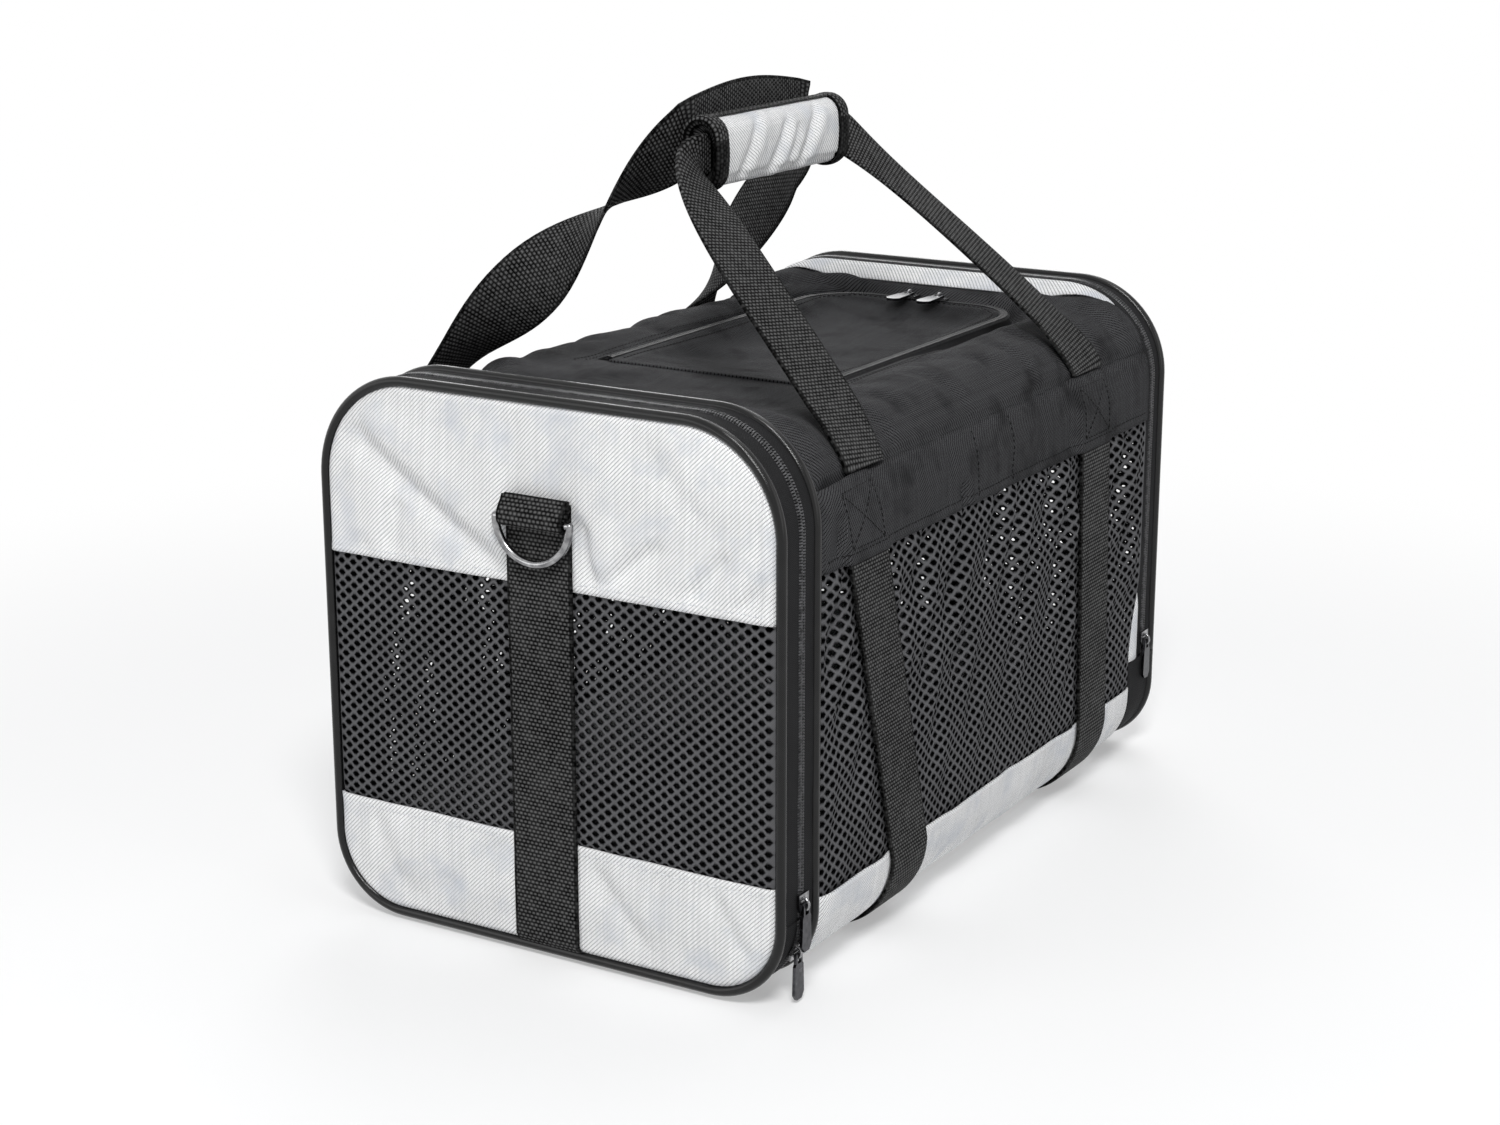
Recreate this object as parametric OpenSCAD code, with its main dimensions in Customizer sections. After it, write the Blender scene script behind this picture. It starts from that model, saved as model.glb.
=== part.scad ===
// Soft-sided pet carrier bag: two hooped ends with zipped doors, net windows,
// a zipped hatch in the top, two webbing handles and a padded grip.
// Front door faces -Y, length along Y, width along X, floor at z = 0.

/* [Body] */
// Outside length, front face to rear face
body_l = 450; // [430:5:500]
// Outside width across the end hoops
body_w = 272; // [256:2:300]
// Height of the end hoops
body_h = 288; // [276:2:316]
// Corner radius at the top of the end hoops
top_r = 56; // [48:1:62]
// Corner radius along the bottom edges
bottom_r = 42; // [38:1:46]
// Depth of the top panel below the hoops
top_drop = 16; // [12:1:20]
// Corner radius of the top panel along its sides
shoulder_r = 46; // [42:1:50]
// Thickness of a sewn fabric panel
panel_t = 2; // [1.6:0.1:2.4]

/* [Windows and bands] */
// Height of the door windows' lower seam above the floor
window_z = 64; // [58:1:72]
// Height of the door windows
window_h = 132; // [120:1:140]
// Straight part of the grey lower band above the rounded bottom edge
lower_band_rise = 4; // [2:1:10]
// Depth of the top seam below the hoops' top
seam_drop = 38; // [34:1:44]
// Height of the black band under the top seam
band_h = 40; // [34:1:46]
// Spacing of the net's gaps
net_pitch = 27; // [26:1:34]
// Width of the net between its gaps
net_web = 5; // [3:0.5:8]
// Least border of the net round its gaps
net_border = 4; // [3:0.5:8]

/* [Piping and zips] */
// Radius of the piping cord's cover
piping_r = 2.6; // [2.2:0.1:3]
// Radius of the spring wire hoop inside the body piping
wire_r = 1.1; // [0.8:0.1:1.4]
// Distance of the front zip's centre line behind the front face
front_chain_in = 20; // [18:0.5:23]
// Distance of the front body piping behind the front face
front_pipe_in = 34.4; // [32:0.5:38]
// Distance of the rear zip's centre line ahead of the rear face
rear_chain_in = 16; // [14:0.5:18]
// Width of the rear zip's body tape
rear_tape_w = 5; // [4:0.5:8]
// Width of the grey gusset ahead of the rear zip
rear_gusset_w = 10.6; // [8:0.5:16]
// Thickness of the zip tape
tape_t = 1.2; // [0.8:0.1:1.6]
// Width of one half of the zip chain
chain_w = 2.5; // [2:0.1:3]
// Thickness of the zip chain
chain_t = 2.8; // [2.2:0.1:3.2]
// Slot between the two halves of the chain
chain_slot = 1.2; // [1:0.1:1.6]

/* [Sliders and pulls] */
// Length of a slider along the chain
slider_l = 11; // [10:0.5:13]
// Width of a slider
slider_w = 9; // [8.5:0.5:11]
// Thickness of a slider's plates
slider_plate = 1.2; // [1:0.1:1.5]
// Radius of the wire of a slider's bail
bail_wire = 0.8; // [0.6:0.1:0.9]
// Radius of a slider's bail to the middle of its wire
bail_r = 3; // [2.8:0.1:3.4]
// Length of a pull from its pin to its tip
pull_l = 24; // [20:0.5:24.5]
// Width of a pull at its tip
pull_w = 9; // [8:0.5:10]
// Thickness of a pull
pull_t = 1.6; // [1.4:0.1:1.8]
// Height of the upper front slider above the rounded corner
front_slider_rise = 8; // [7:0.5:14]
// Angle of the lower front slider below the level of the corner's centre
front_corner_angle = 25; // [23:0.5:26]
// Height of the rear slider above the rear door's hinge
rear_slider_rise = 10; // [8:0.5:20]
// Distance of each hatch slider from the middle
hatch_slider_x = 10; // [7:0.5:12]

/* [Webbing and rings] */
// Width of the webbing
web_w = 38; // [30:1:40]
// Thickness of the webbing
web_t = 2; // [1.6:0.1:2.4]
// Height of the strap rings' bars above the floor
ring_z = 230; // [222:1:240]
// Radius of the ring wire
ring_wire = 2; // [1.6:0.1:2.4]
// Half width of a ring to the middle of its wire
ring_half = 21.6; // [21.5:0.1:24]
// Distance of the front belt's upper ends behind the front seam
front_belt_top_in = 42; // [36:1:60]
// Distance of the front belt's lower run behind the front seam
front_belt_low_in = 90; // [80:1:105]
// Distance of the rear belt's upper ends ahead of the rear seam
rear_belt_top_in = 68; // [56:1:80]
// Distance of the rear belt's lower run ahead of the rear seam
rear_belt_low_in = 60; // [50:1:75]

/* [Handles] */
// Distance of the handles' front roots behind the front seam
root_front_in = 50; // [42:1:62]
// Distance of the handles' rear roots ahead of the rear seam
root_rear_in = 66; // [56:1:76]
// Height of the grip's centre above the floor
grip_z = 388; // [382:1:400]
// Length of the padded grip
grip_l = 134; // [124:1:140]
// Half width of the grip
grip_r = 10; // [9:0.5:12]
// Half of the straight height of the grip's sides
grip_side = 8; // [7:0.5:10]
// Height of the folded webbing inside the grip
fold_h = 20; // [18:0.5:21]
// Place of the right handle's middle across the bag
grip_x = -1; // [-3:0.5:2]
// Place of the grip's middle along the bag
grip_y = -8; // [-11:0.5:-5]
// Straight webbing beyond each end of the grip
grip_lead = 7; // [6:0.5:12]
// How much shorter the left handle's level part is at each end
far_short = 8; // [4:0.5:14]
// Distance of the left handle from the grip's side
handle_gap = 2; // [1:0.5:6]
// Height of the left handle's middle above the grip's centre
far_rise = 8; // [0:1:12]

/* [Hatch] */
// Half width of the hatch flap
hatch_half = 62; // [54:1:68]
// Distance of the hatch's hinge line behind the front seam
hatch_front_in = 118; // [100:1:140]
// Distance of the hatch flap's rear edge ahead of the rear seam
hatch_rear_in = 18; // [16:1:30]
// Corner radius at the rear of the hatch flap
hatch_r = 30; // [24:1:32]

/* [Inside] */
// Thickness of the stiff base board
board_t = 3; // [2:0.5:4]
// Clearance of the board and mat from the end hoops
board_end_gap = 8; // [5:1:15]
// Width of the mat
mat_w = 200; // [180:2:206]
// Thickness of the mat's edge
mat_edge = 9; // [7:1:12]
// Extra height of the mat's crown over its edge
mat_crown = 8; // [5:1:12]
// How far the mat's sides draw in between its corners
mat_draw = 5; // [2:1:8]

/* [Fits] */
// Gap left along each sewn seam
seam_gap = 0.2; // [0.1:0.05:0.4]
// Clearance of parts that turn or slide
run_gap = 0.25; // [0.2:0.05:0.35]
// Clearance of a ring bar in its webbing loop
ring_gap = 0.1; // [0.05:0.05:0.2]
// Lap of the two lengths of a cord's straight run
cord_lap = 1; // [0.5:0.5:3]
// Gap between a handle's root and the top seam
root_gap = 0.5; // [0.4:0.1:0.8]

/* [Hidden] */
$fn = 48;
big = 1000;
base_z = web_t + seam_gap;
hoop_top = base_z + body_h;
half_w = body_w / 2;
front_y = -body_l / 2;
rear_y = body_l / 2;
roof_z = hoop_top - top_drop;
seam_z = hoop_top - seam_drop;
band_z = seam_z - band_h;
corner_z = base_z + bottom_r;
corner_x = half_w - bottom_r;
lower_seam_z = corner_z + lower_band_rise;
window_top = window_z + window_h;
pipe_d = 2 * piping_r;
panel_inset = pipe_d + seam_gap;
half_chain = chain_slot / 2 + chain_w;
tape_inset = piping_r - tape_t / 2;
chain_inset = piping_r - chain_t / 2;

// Stations along the length
front_pipe_y = front_y + piping_r;
front_tape_y = front_y + pipe_d + seam_gap;
front_chain_y = front_y + front_chain_in;
body_pipe_y = front_y + front_pipe_in;
panels_front = body_pipe_y + piping_r + seam_gap;
rear_pipe_y = rear_y - piping_r;
rear_tape_y = rear_y - pipe_d - seam_gap;
rear_chain_y = rear_y - rear_chain_in;
rear_gusset_end = rear_chain_y - half_chain - 2 * seam_gap - rear_tape_w;
panels_rear = rear_gusset_end - rear_gusset_w - seam_gap;

// Sliders
plate_in = chain_t / 2 + run_gap;
plate_out = plate_in + slider_plate;
pin_r = pull_t / 2;
pin_z = plate_out + pin_r + run_gap / 2;
post_w = chain_slot - 2 * run_gap;
post_l = 1.6;
post_in = 0.6;
eye_half = bail_wire + 2 * run_gap + 0.3;
eye_bar = 1.4;
eye_l = bail_r + bail_wire + 1.2;
tip_cut = 3;
front_slider_z = corner_z + front_slider_rise;
corner_sag = pow(slider_l, 2) / (8 * (bottom_r - piping_r - chain_t));
rear_slider_z = window_z + rear_slider_rise;
chain_x = half_w - piping_r;

// Strap rings and their loops
strap_y = front_y - seam_gap - web_t;
loop_in = ring_wire + ring_gap;
loop_out = loop_in + web_t;
loop_y = strap_y - seam_gap - loop_out;
loop_w = 2 * (sqrt(pow(ring_half - ring_wire, 2) - pow(loop_out, 2)) - run_gap);
loop_tail = 10;

// Belts, handles and hatch along the length
front_belt_top = panels_front + front_belt_top_in;
front_belt_low = panels_front + front_belt_low_in;
rear_belt_top = panels_rear - rear_belt_top_in;
rear_belt_low = panels_rear - rear_belt_low_in;
root_front = panels_front + root_front_in;
root_rear = panels_rear - root_rear_in;
hatch_front = panels_front + hatch_front_in;
hatch_rear = panels_rear - hatch_rear_in;

// Handles: root of a leg beside the top seam, and its end at the grip
shoulder_z = roof_z - shoulder_r;
shoulder_x = half_w - shoulder_r;
root_z = seam_z + 1.5;
root_x = shoulder_x + sqrt(pow(shoulder_r, 2) - pow(root_z - shoulder_z, 2)) + root_gap + web_t / 2;
fold_t = 2 * web_t;
far_x = grip_x - grip_r - handle_gap - web_t / 2;
right_rise = 18;
right_lean = [1.3, 1.3];
right_turn = 22;
left_rise = 36;
left_lean = [0.4, -0.4];
left_turn = 34;
leg_steps = 16;
top_steps = 6;

// Hatch
chain_out = hatch_half + seam_gap + 2 * chain_w + chain_slot;
hatch_chain_y = hatch_rear + seam_gap + half_chain;
hatch_chain_z = roof_z - panel_t / 2;
hatch_chain_start = 4;

// Mat
mat_z = base_z + panel_t + seam_gap + board_t + seam_gap;
mat_front = panels_front + board_end_gap;
mat_rear = panels_rear - board_end_gap;
mat_steps = 48;
mat_rings = 5;

grey = "#dcdee1";
black = "#262627";
webbing = "#1f1f20";
net = "#2b2b2d";
metal = "#8d8f92";
coil = "#19191a";
board = "#4a4a4c";
fleece = "#c9cbcf";

// Outlines across the bag, drawn with X to the right and Z up

module rounded_2d(half, low, high, r_low, r_high) {
    for (s = [-1, 1]) {
        translate([s * (half - r_low), low + r_low]) circle(r_low);
        translate([s * (half - r_high), high - r_high]) circle(r_high);
    }
    translate([-half, low + r_low]) square([2 * half, high - low - r_low - r_high]);
    translate([r_low - half, low]) square([2 * (half - r_low), r_low]);
    translate([r_high - half, high - r_high]) square([2 * (half - r_high), r_high]);
}

module hoop_2d(inset) {
    rounded_2d(half_w - inset, base_z + inset, hoop_top - inset, bottom_r - inset, top_r - inset);
}

module body_2d(inset) {
    rounded_2d(half_w - inset, base_z + inset, roof_z - inset, bottom_r - inset, shoulder_r - inset);
}

module hoop_ring_2d(inset, t) {
    difference() {
        hoop_2d(inset);
        hoop_2d(inset + t);
    }
}

module body_wall_2d() {
    difference() {
        body_2d(0);
        body_2d(panel_t);
    }
}

// Keeps the part of an outline between two heights
module between(low, high) {
    intersection() {
        children();
        translate([-big, low]) square([2 * big, high - low]);
    }
}

// Keeps the part of an outline between two widths
module across(left, right) {
    intersection() {
        children();
        translate([left, -big]) square([right - left, 2 * big]);
    }
}

// Stretches an outline along the bag from one station to another
module along(from, to) {
    translate([0, to, 0]) rotate([90, 0, 0]) linear_extrude(to - from) children();
}

// Stretches an outline drawn in Y and Z along X
module athwart(from, to) {
    translate([from, 0, 0]) rotate([90, 0, 90]) linear_extrude(to - from) children();
}

// A round cord that follows the end hoop, each straight run in two lengths that lap at its middle
module hoop_cord(y, r) {
    low = base_z + piping_r;
    high = hoop_top - piping_r;
    side_l = (hoop_top - top_r - corner_z) / 2 + cord_lap;
    for (s = [-1, 1]) {
        translate([s * chain_x, y, corner_z]) cylinder(r = r, h = side_l, $fn = 24);
        translate([s * chain_x, y, hoop_top - top_r]) mirror([0, 0, 1]) cylinder(r = r, h = side_l, $fn = 24);
        corner_cord(s * corner_x, y, corner_z, bottom_r - piping_r, r, s > 0 ? 270 : 180);
        corner_cord(s * (half_w - top_r), y, hoop_top - top_r, top_r - piping_r, r, s > 0 ? 0 : 90);
        translate([s * corner_x, y, low]) rotate([0, -s * 90, 0])
            cylinder(r = r, h = corner_x + cord_lap, $fn = 24);
        translate([s * (half_w - top_r), y, high]) rotate([0, -s * 90, 0])
            cylinder(r = r, h = half_w - top_r + cord_lap, $fn = 24);
    }
}

module corner_cord(x, y, z, bend, r, start) {
    translate([x, y, z]) rotate([90, 0, 0]) rotate([0, 0, start])
        rotate_extrude(angle = 90) translate([bend, 0]) circle(r, $fn = 24);
}

// Staggered six-sided gaps inside a rectangle
module net_gaps(left, low, width, height) {
    cols = floor((width - 2 * net_border) / net_pitch - 0.5);
    row_step = net_pitch * sqrt(3) / 2;
    gap_r = (net_pitch - net_web) / sqrt(3);
    rows = floor((height - 2 * net_border - 2 * gap_r) / row_step) + 1;
    x0 = left + (width - (cols - 0.5) * net_pitch) / 2;
    z0 = low + (height - (rows - 1) * row_step) / 2;
    for (row = [0 : rows - 1], col = [0 : cols - 1])
        translate([x0 + (col + 0.5 * (row % 2)) * net_pitch, z0 + row * row_step])
            rotate(30) circle(gap_r, $fn = 6);
}

// Fabric of the middle body

module top_panel() {
    color(black) difference() {
        union() {
            along(panels_front, panels_rear) between(seam_z + seam_gap, big) body_wall_2d();
            for (y = [panels_front, panels_rear - panel_t])
                along(y, y + panel_t) between(seam_z + seam_gap, big) difference() {
                    hoop_2d(0);
                    body_2d(panel_t);
                }
        }
        translate([0, 0, roof_z - big / 2]) linear_extrude(big)
            hatch_2d(chain_out + seam_gap, hatch_front - seam_gap);
    }
}

module side_band(left, right) {
    color(black) along(panels_front, panels_rear)
        across(left, right) between(band_z + seam_gap, seam_z - seam_gap) body_wall_2d();
}

module side_band_right() { side_band(0, big); }
module side_band_left() { side_band(-big, 0); }

module side_net(x) {
    low = lower_seam_z + seam_gap;
    height = band_z - seam_gap - low;
    length = panels_rear - panels_front;
    color(net) athwart(x, x + panel_t) difference() {
        translate([panels_front, low]) square([length, height]);
        net_gaps(panels_front, low, length, height);
    }
}

module side_net_right() { side_net(half_w - panel_t); }
module side_net_left() { side_net(-half_w); }

module lower_band(left, right) {
    color(grey) along(panels_front, panels_rear)
        across(left, right) between(0, lower_seam_z - seam_gap) body_wall_2d();
}

module lower_band_right() { lower_band(corner_x + seam_gap, big); }
module lower_band_left() { lower_band(-big, -corner_x - seam_gap); }

module bottom_panel() {
    color(black) translate([-corner_x, panels_front, base_z])
        cube([2 * corner_x, panels_rear - panels_front, panel_t]);
}

module base_board() {
    color(board) translate([-corner_x, mat_front, base_z + panel_t + seam_gap])
        cube([2 * corner_x, mat_rear - mat_front, board_t]);
}

// Mat with a crown and sides that draw in between its corners

function mat_square(c) = sign(c) * pow(abs(c), 0.28);
function mat_point(a, s, z) = let (
        u = mat_square(cos(a)),
        v = mat_square(sin(a)),
        half_l = (mat_rear - mat_front) / 2
    ) [
        s * u * (mat_w / 2 - mat_draw * (1 - v * v)),
        (mat_front + mat_rear) / 2 + s * v * (half_l - mat_draw * (1 - u * u)),
        z
    ];
function mat_ring(s, z) = [for (i = [0 : mat_steps - 1]) mat_point(360 * i / mat_steps, s, z)];
function mat_scale(k) = 0.94 * cos(90 * k / (mat_rings + 1));
function mat_height(k) = mat_edge + mat_crown * (1 - pow(mat_scale(k), 2));
function ring_faces(first, second, n) = [
    for (i = [0 : n - 1]) each [
        [first + i, second + i, first + (i + 1) % n],
        [first + (i + 1) % n, second + i, second + (i + 1) % n]
    ]
];

module mat() {
    rings = [
        mat_ring(0.96, mat_z),
        mat_ring(1, mat_z + mat_edge / 2),
        for (k = [0 : mat_rings]) mat_ring(mat_scale(k), mat_z + mat_height(k))
    ];
    n = mat_steps;
    last = (len(rings) - 1) * n;
    points = concat([for (ring = rings) each ring], [
        [0, (mat_front + mat_rear) / 2, mat_z],
        [0, (mat_front + mat_rear) / 2, mat_z + mat_edge + mat_crown]
    ]);
    low_mid = len(points) - 2;
    top_mid = len(points) - 1;
    faces = concat(
        [for (k = [0 : len(rings) - 2]) each ring_faces(k * n, (k + 1) * n, n)],
        [for (i = [0 : n - 1]) [low_mid, i, (i + 1) % n]],
        [for (i = [0 : n - 1]) [top_mid, last + (i + 1) % n, last + i]]
    );
    color(fleece) polyhedron(points, faces, convexity = 4);
}

// Webbing belt down both sides and under the bottom

module belt(y_top, y_low) {
    w = web_w / 2;
    x = half_w + seam_gap;
    for (s = [0, 1]) mirror([s, 0, 0]) {
        athwart(x, x + web_t) polygon([
            [y_top - w, band_z], [y_low - w, corner_z],
            [y_low + w, corner_z], [y_top + w, band_z]
        ]);
        along(y_low - w, y_low + w) intersection() {
            difference() {
                translate([corner_x, corner_z]) circle(bottom_r + seam_gap + web_t);
                translate([corner_x, corner_z]) circle(bottom_r + seam_gap);
            }
            translate([corner_x, corner_z - big]) square(big);
        }
    }
    translate([-corner_x, y_low - w, 0]) cube([2 * corner_x, web_w, web_t]);
}

module front_belt() { color(webbing) belt(front_belt_top, front_belt_low); }
module rear_belt() { color(webbing) belt(rear_belt_top, rear_belt_low); }

// Front frame: wired piping, zip tape, chain and the sewn hinge

module front_body_piping() {
    color(black) difference() {
        hoop_cord(body_pipe_y, piping_r);
        hoop_cord(body_pipe_y, wire_r + ring_gap);
    }
}

module front_hoop_wire() { color(metal) hoop_cord(body_pipe_y, wire_r); }

module front_body_tape() {
    color(black) along(front_chain_y + half_chain + seam_gap, body_pipe_y - piping_r - seam_gap)
        hoop_ring_2d(tape_inset, tape_t);
}

// Chain round both sides and the top, without the bottom run
module chain_2d() {
    difference() {
        hoop_ring_2d(chain_inset, chain_t);
        translate([-corner_x, -big]) square([2 * corner_x, big + corner_z]);
    }
}

module front_body_chain() {
    near = front_chain_y + chain_slot / 2;
    color(coil) {
        along(near, near + chain_w) chain_2d();
        along(front_chain_y - half_chain, front_chain_y - chain_slot / 2)
            between(0, corner_z - seam_gap) chain_2d();
    }
}

module front_hinge_tape() {
    color(black) {
        along(front_tape_y + run_gap, front_chain_y - half_chain - seam_gap)
            between(0, corner_z - seam_gap) hoop_ring_2d(tape_inset, tape_t);
        along(front_chain_y - half_chain - seam_gap, front_chain_y + half_chain)
            across(seam_gap - corner_x, corner_x - seam_gap) between(0, corner_z)
                hoop_ring_2d(tape_inset, tape_t);
    }
}

// Rear frame: grey gusset, zip tape and chain above the hinge, binding below

module rear_gusset() {
    color(grey) along(rear_gusset_end - rear_gusset_w, rear_gusset_end)
        between(window_z + seam_gap, big) hoop_ring_2d(tape_inset, tape_t);
}

module rear_body_tape() {
    from = rear_gusset_end + seam_gap;
    color(black) along(from, from + rear_tape_w)
        between(window_z + seam_gap, big) hoop_ring_2d(tape_inset, tape_t);
}

module rear_body_chain() {
    color(coil) along(rear_chain_y - half_chain, rear_chain_y - chain_slot / 2)
        between(window_z + seam_gap, big) hoop_ring_2d(chain_inset, chain_t);
}

module rear_lower_binding() {
    color(black) along(panels_rear + seam_gap, rear_tape_y)
        between(0, window_z - seam_gap) hoop_ring_2d(tape_inset, tape_t);
}

module rear_lower_panel() {
    color(grey) along(rear_y - panel_t, rear_y)
        between(0, window_z - seam_gap) hoop_2d(panel_inset);
}

module rear_lower_piping() {
    color(black) intersection() {
        hoop_cord(rear_pipe_y, piping_r);
        translate([-big, 0, window_z - seam_gap - big]) cube([2 * big, big, big]);
    }
}

module rear_lower_strap() {
    color(webbing) translate([-web_w / 2, rear_y + seam_gap, base_z])
        cube([web_w, web_t, window_z - seam_gap - base_z]);
}

// Doors

module door_panel(y, low, high) {
    along(y, y + panel_t) between(low, high) hoop_2d(panel_inset);
}

module door_net(y) {
    low = window_z + seam_gap;
    height = window_h - 2 * seam_gap;
    half = half_w - panel_inset;
    color(net) along(y, y + panel_t) difference() {
        translate([-half, low]) square([2 * half, height]);
        net_gaps(-half, low, 2 * half, height);
    }
}

module front_upper_panel() { color(grey) door_panel(front_y, window_top + seam_gap, big); }
module front_net() { door_net(front_y); }

module front_lower_panel() {
    color(grey) along(front_y, front_y + panel_t) between(0, window_z - seam_gap) hoop_2d(panel_inset);
}

module front_door_piping() { color(black) hoop_cord(front_pipe_y, piping_r); }

module front_door_tape() {
    color(black) along(front_tape_y, front_chain_y - half_chain - seam_gap)
        between(corner_z + seam_gap, big) hoop_ring_2d(tape_inset, tape_t);
}

module front_door_chain() {
    color(coil) along(front_chain_y - half_chain, front_chain_y - chain_slot / 2)
        between(corner_z + seam_gap, big) hoop_ring_2d(chain_inset, chain_t);
}

module rear_upper_panel() { color(grey) door_panel(rear_y - panel_t, window_top + seam_gap, big); }
module rear_net() { door_net(rear_y - panel_t); }

module rear_door_piping() {
    color(black) intersection() {
        hoop_cord(rear_pipe_y, piping_r);
        translate([-big, 0, window_z + seam_gap]) cube([2 * big, big, big]);
    }
}

module rear_door_tape() {
    color(black) along(rear_chain_y + half_chain + seam_gap, rear_tape_y)
        between(window_z + seam_gap, big) hoop_ring_2d(tape_inset, tape_t);
}

module rear_door_chain() {
    color(coil) along(rear_chain_y + chain_slot / 2, rear_chain_y + half_chain)
        between(window_z + seam_gap, big) hoop_ring_2d(chain_inset, chain_t);
}

// Strap, ring loop and ring on a door, drawn for the front

module door_strap(low) {
    color(webbing) translate([-web_w / 2, strap_y, low])
        cube([web_w, web_t, ring_z + loop_tail - low]);
}

module ring_loop() {
    color(webbing) athwart(-loop_w / 2, loop_w / 2) translate([loop_y, ring_z]) difference() {
        union() {
            circle(loop_out);
            translate([loop_in, 0]) square([web_t, loop_tail]);
        }
        circle(loop_in);
    }
}

module strap_ring() {
    color(metal) translate([0, loop_y, ring_z]) {
        translate([-ring_half, 0, 0]) rotate([0, 90, 0]) cylinder(r = ring_wire, h = 2 * ring_half);
        rotate([90, 0, 0]) rotate([0, 0, 180]) rotate_extrude(angle = 180)
            translate([ring_half, 0]) circle(ring_wire, $fn = 24);
        for (s = [-1, 1]) translate([s * ring_half, 0, 0]) sphere(ring_wire, $fn = 24);
    }
}

module front_strap() { door_strap(base_z); }
module front_ring_loop() { ring_loop(); }
module front_ring() { strap_ring(); }
module rear_strap() { mirror([0, 1, 0]) door_strap(window_z + seam_gap); }
module rear_ring_loop() { mirror([0, 1, 0]) ring_loop(); }
module rear_ring() { mirror([0, 1, 0]) strap_ring(); }

// Zip slider on a chain along x, with its face towards z; the under plate may be cut short

module zip_slider(bail_turn, under_to, under_drop = 0) {
    color(metal) {
        slider_plate_at(plate_in, slider_w / 2);
        slider_plate_at(-plate_out - under_drop, under_to);
        translate([post_in - slider_l / 2, -post_w / 2, -plate_in - under_drop])
            cube([post_l, post_w, 2 * plate_in + under_drop]);
        rotate([0, 0, bail_turn]) translate([0, 0, plate_out - bail_wire / 2]) rotate([90, 0, 0])
            rotate_extrude(angle = 180) translate([bail_r, 0]) circle(bail_wire, $fn = 20);
    }
}

module slider_plate_at(z, y_to) {
    shoulder = slider_l / 2 - slider_w / 4;
    translate([0, 0, z]) linear_extrude(slider_plate) intersection() {
        polygon([
            [-slider_l / 2, -slider_w / 2], [shoulder - slider_w / 4, -slider_w / 2],
            [slider_l / 2, -slider_w / 4], [slider_l / 2, slider_w / 4],
            [shoulder - slider_w / 4, slider_w / 2], [-slider_l / 2, slider_w / 2]
        ]);
        translate([-slider_l, -slider_w]) square([2 * slider_l, slider_w + y_to]);
    }
}

// Pull on a slider's bail, lying along x from its pin
module zip_pull() {
    eye_out = eye_half + eye_bar;
    color(metal) translate([0, 0, pin_z]) {
        rotate([90, 0, 0]) translate([0, 0, -eye_out]) cylinder(r = pin_r, h = 2 * eye_out, $fn = 20);
        translate([0, 0, -pull_t / 2]) linear_extrude(pull_t) difference() {
            polygon([
                [0, -eye_out], [eye_l, -eye_out], [eye_l + eye_bar, -pull_w / 2 + 0.6],
                [pull_l - tip_cut, -pull_w / 2], [pull_l, -pull_w / 4],
                [pull_l, pull_w / 4], [pull_l - tip_cut, pull_w / 2],
                [eye_l + eye_bar, pull_w / 2 - 0.6], [eye_l, eye_out], [0, eye_out]
            ]);
            translate([pin_r, -eye_half]) square([eye_l - pin_r, 2 * eye_half]);
            translate([-pin_r, -eye_half]) square([2 * pin_r, 2 * eye_half]);
        }
    }
}

module on_side(y, z) {
    translate([chain_x, y, z]) rotate([0, 90, 0]) children();
}

module on_front_corner() {
    translate([corner_x, front_chain_y, corner_z]) rotate([0, 90 + front_corner_angle, 0])
        translate([0, 0, bottom_r - piping_r]) children();
}

module on_hatch(x) {
    translate([x, hatch_chain_y, hatch_chain_z]) children();
}

module front_slider_upper() { on_side(front_chain_y, front_slider_z) zip_slider(0, slider_w / 2); }
module front_pull_upper() { on_side(front_chain_y, front_slider_z) zip_pull(); }
module front_slider_lower() { on_front_corner() zip_slider(0, slider_w / 2, corner_sag); }

// The lower pull hangs plumb from its slider on the corner
module front_pull_lower() {
    on_front_corner() translate([0, 0, pin_z]) rotate([0, -front_corner_angle, 0])
        translate([0, 0, -pin_z]) zip_pull();
}

module rear_slider() { on_side(rear_chain_y, rear_slider_z) zip_slider(0, slider_w / 2); }
module rear_pull() { on_side(rear_chain_y, rear_slider_z) zip_pull(); }

// Top hatch

module hatch_2d(half, from) {
    grow = half - hatch_half;
    r = hatch_r + grow;
    to = hatch_rear + grow;
    translate([-half, from]) square([2 * half, to - r - from]);
    translate([r - half, from]) square([2 * (half - r), to - from]);
    for (s = [-1, 1]) translate([s * (half - r), to - r]) circle(r);
}

module hatch_flap() {
    color(black) translate([0, 0, roof_z - panel_t]) linear_extrude(panel_t)
        hatch_2d(hatch_half, hatch_front + seam_gap);
}

module hatch_chain(inner) {
    start = hatch_front + hatch_chain_start;
    color(coil) translate([0, 0, hatch_chain_z - chain_t / 2]) linear_extrude(chain_t) difference() {
        hatch_2d(inner + chain_w, start);
        hatch_2d(inner, start - 1);
    }
}

module hatch_flap_chain() { hatch_chain(hatch_half + seam_gap); }
module hatch_frame_chain() { hatch_chain(hatch_half + seam_gap + chain_w + chain_slot); }
module hatch_slider_left() { on_hatch(-hatch_slider_x) mirror([1, 0, 0]) zip_slider(90, post_w / 2); }
module hatch_slider_right() { on_hatch(hatch_slider_x) zip_slider(90, post_w / 2); }
module hatch_pull_left() { on_hatch(-hatch_slider_x) rotate([0, 0, -90]) zip_pull(); }
module hatch_pull_right() { on_hatch(hatch_slider_x) rotate([0, 0, -90]) zip_pull(); }

// Handles: a flat webbing swept from the front root over the grip to the rear root

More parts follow.
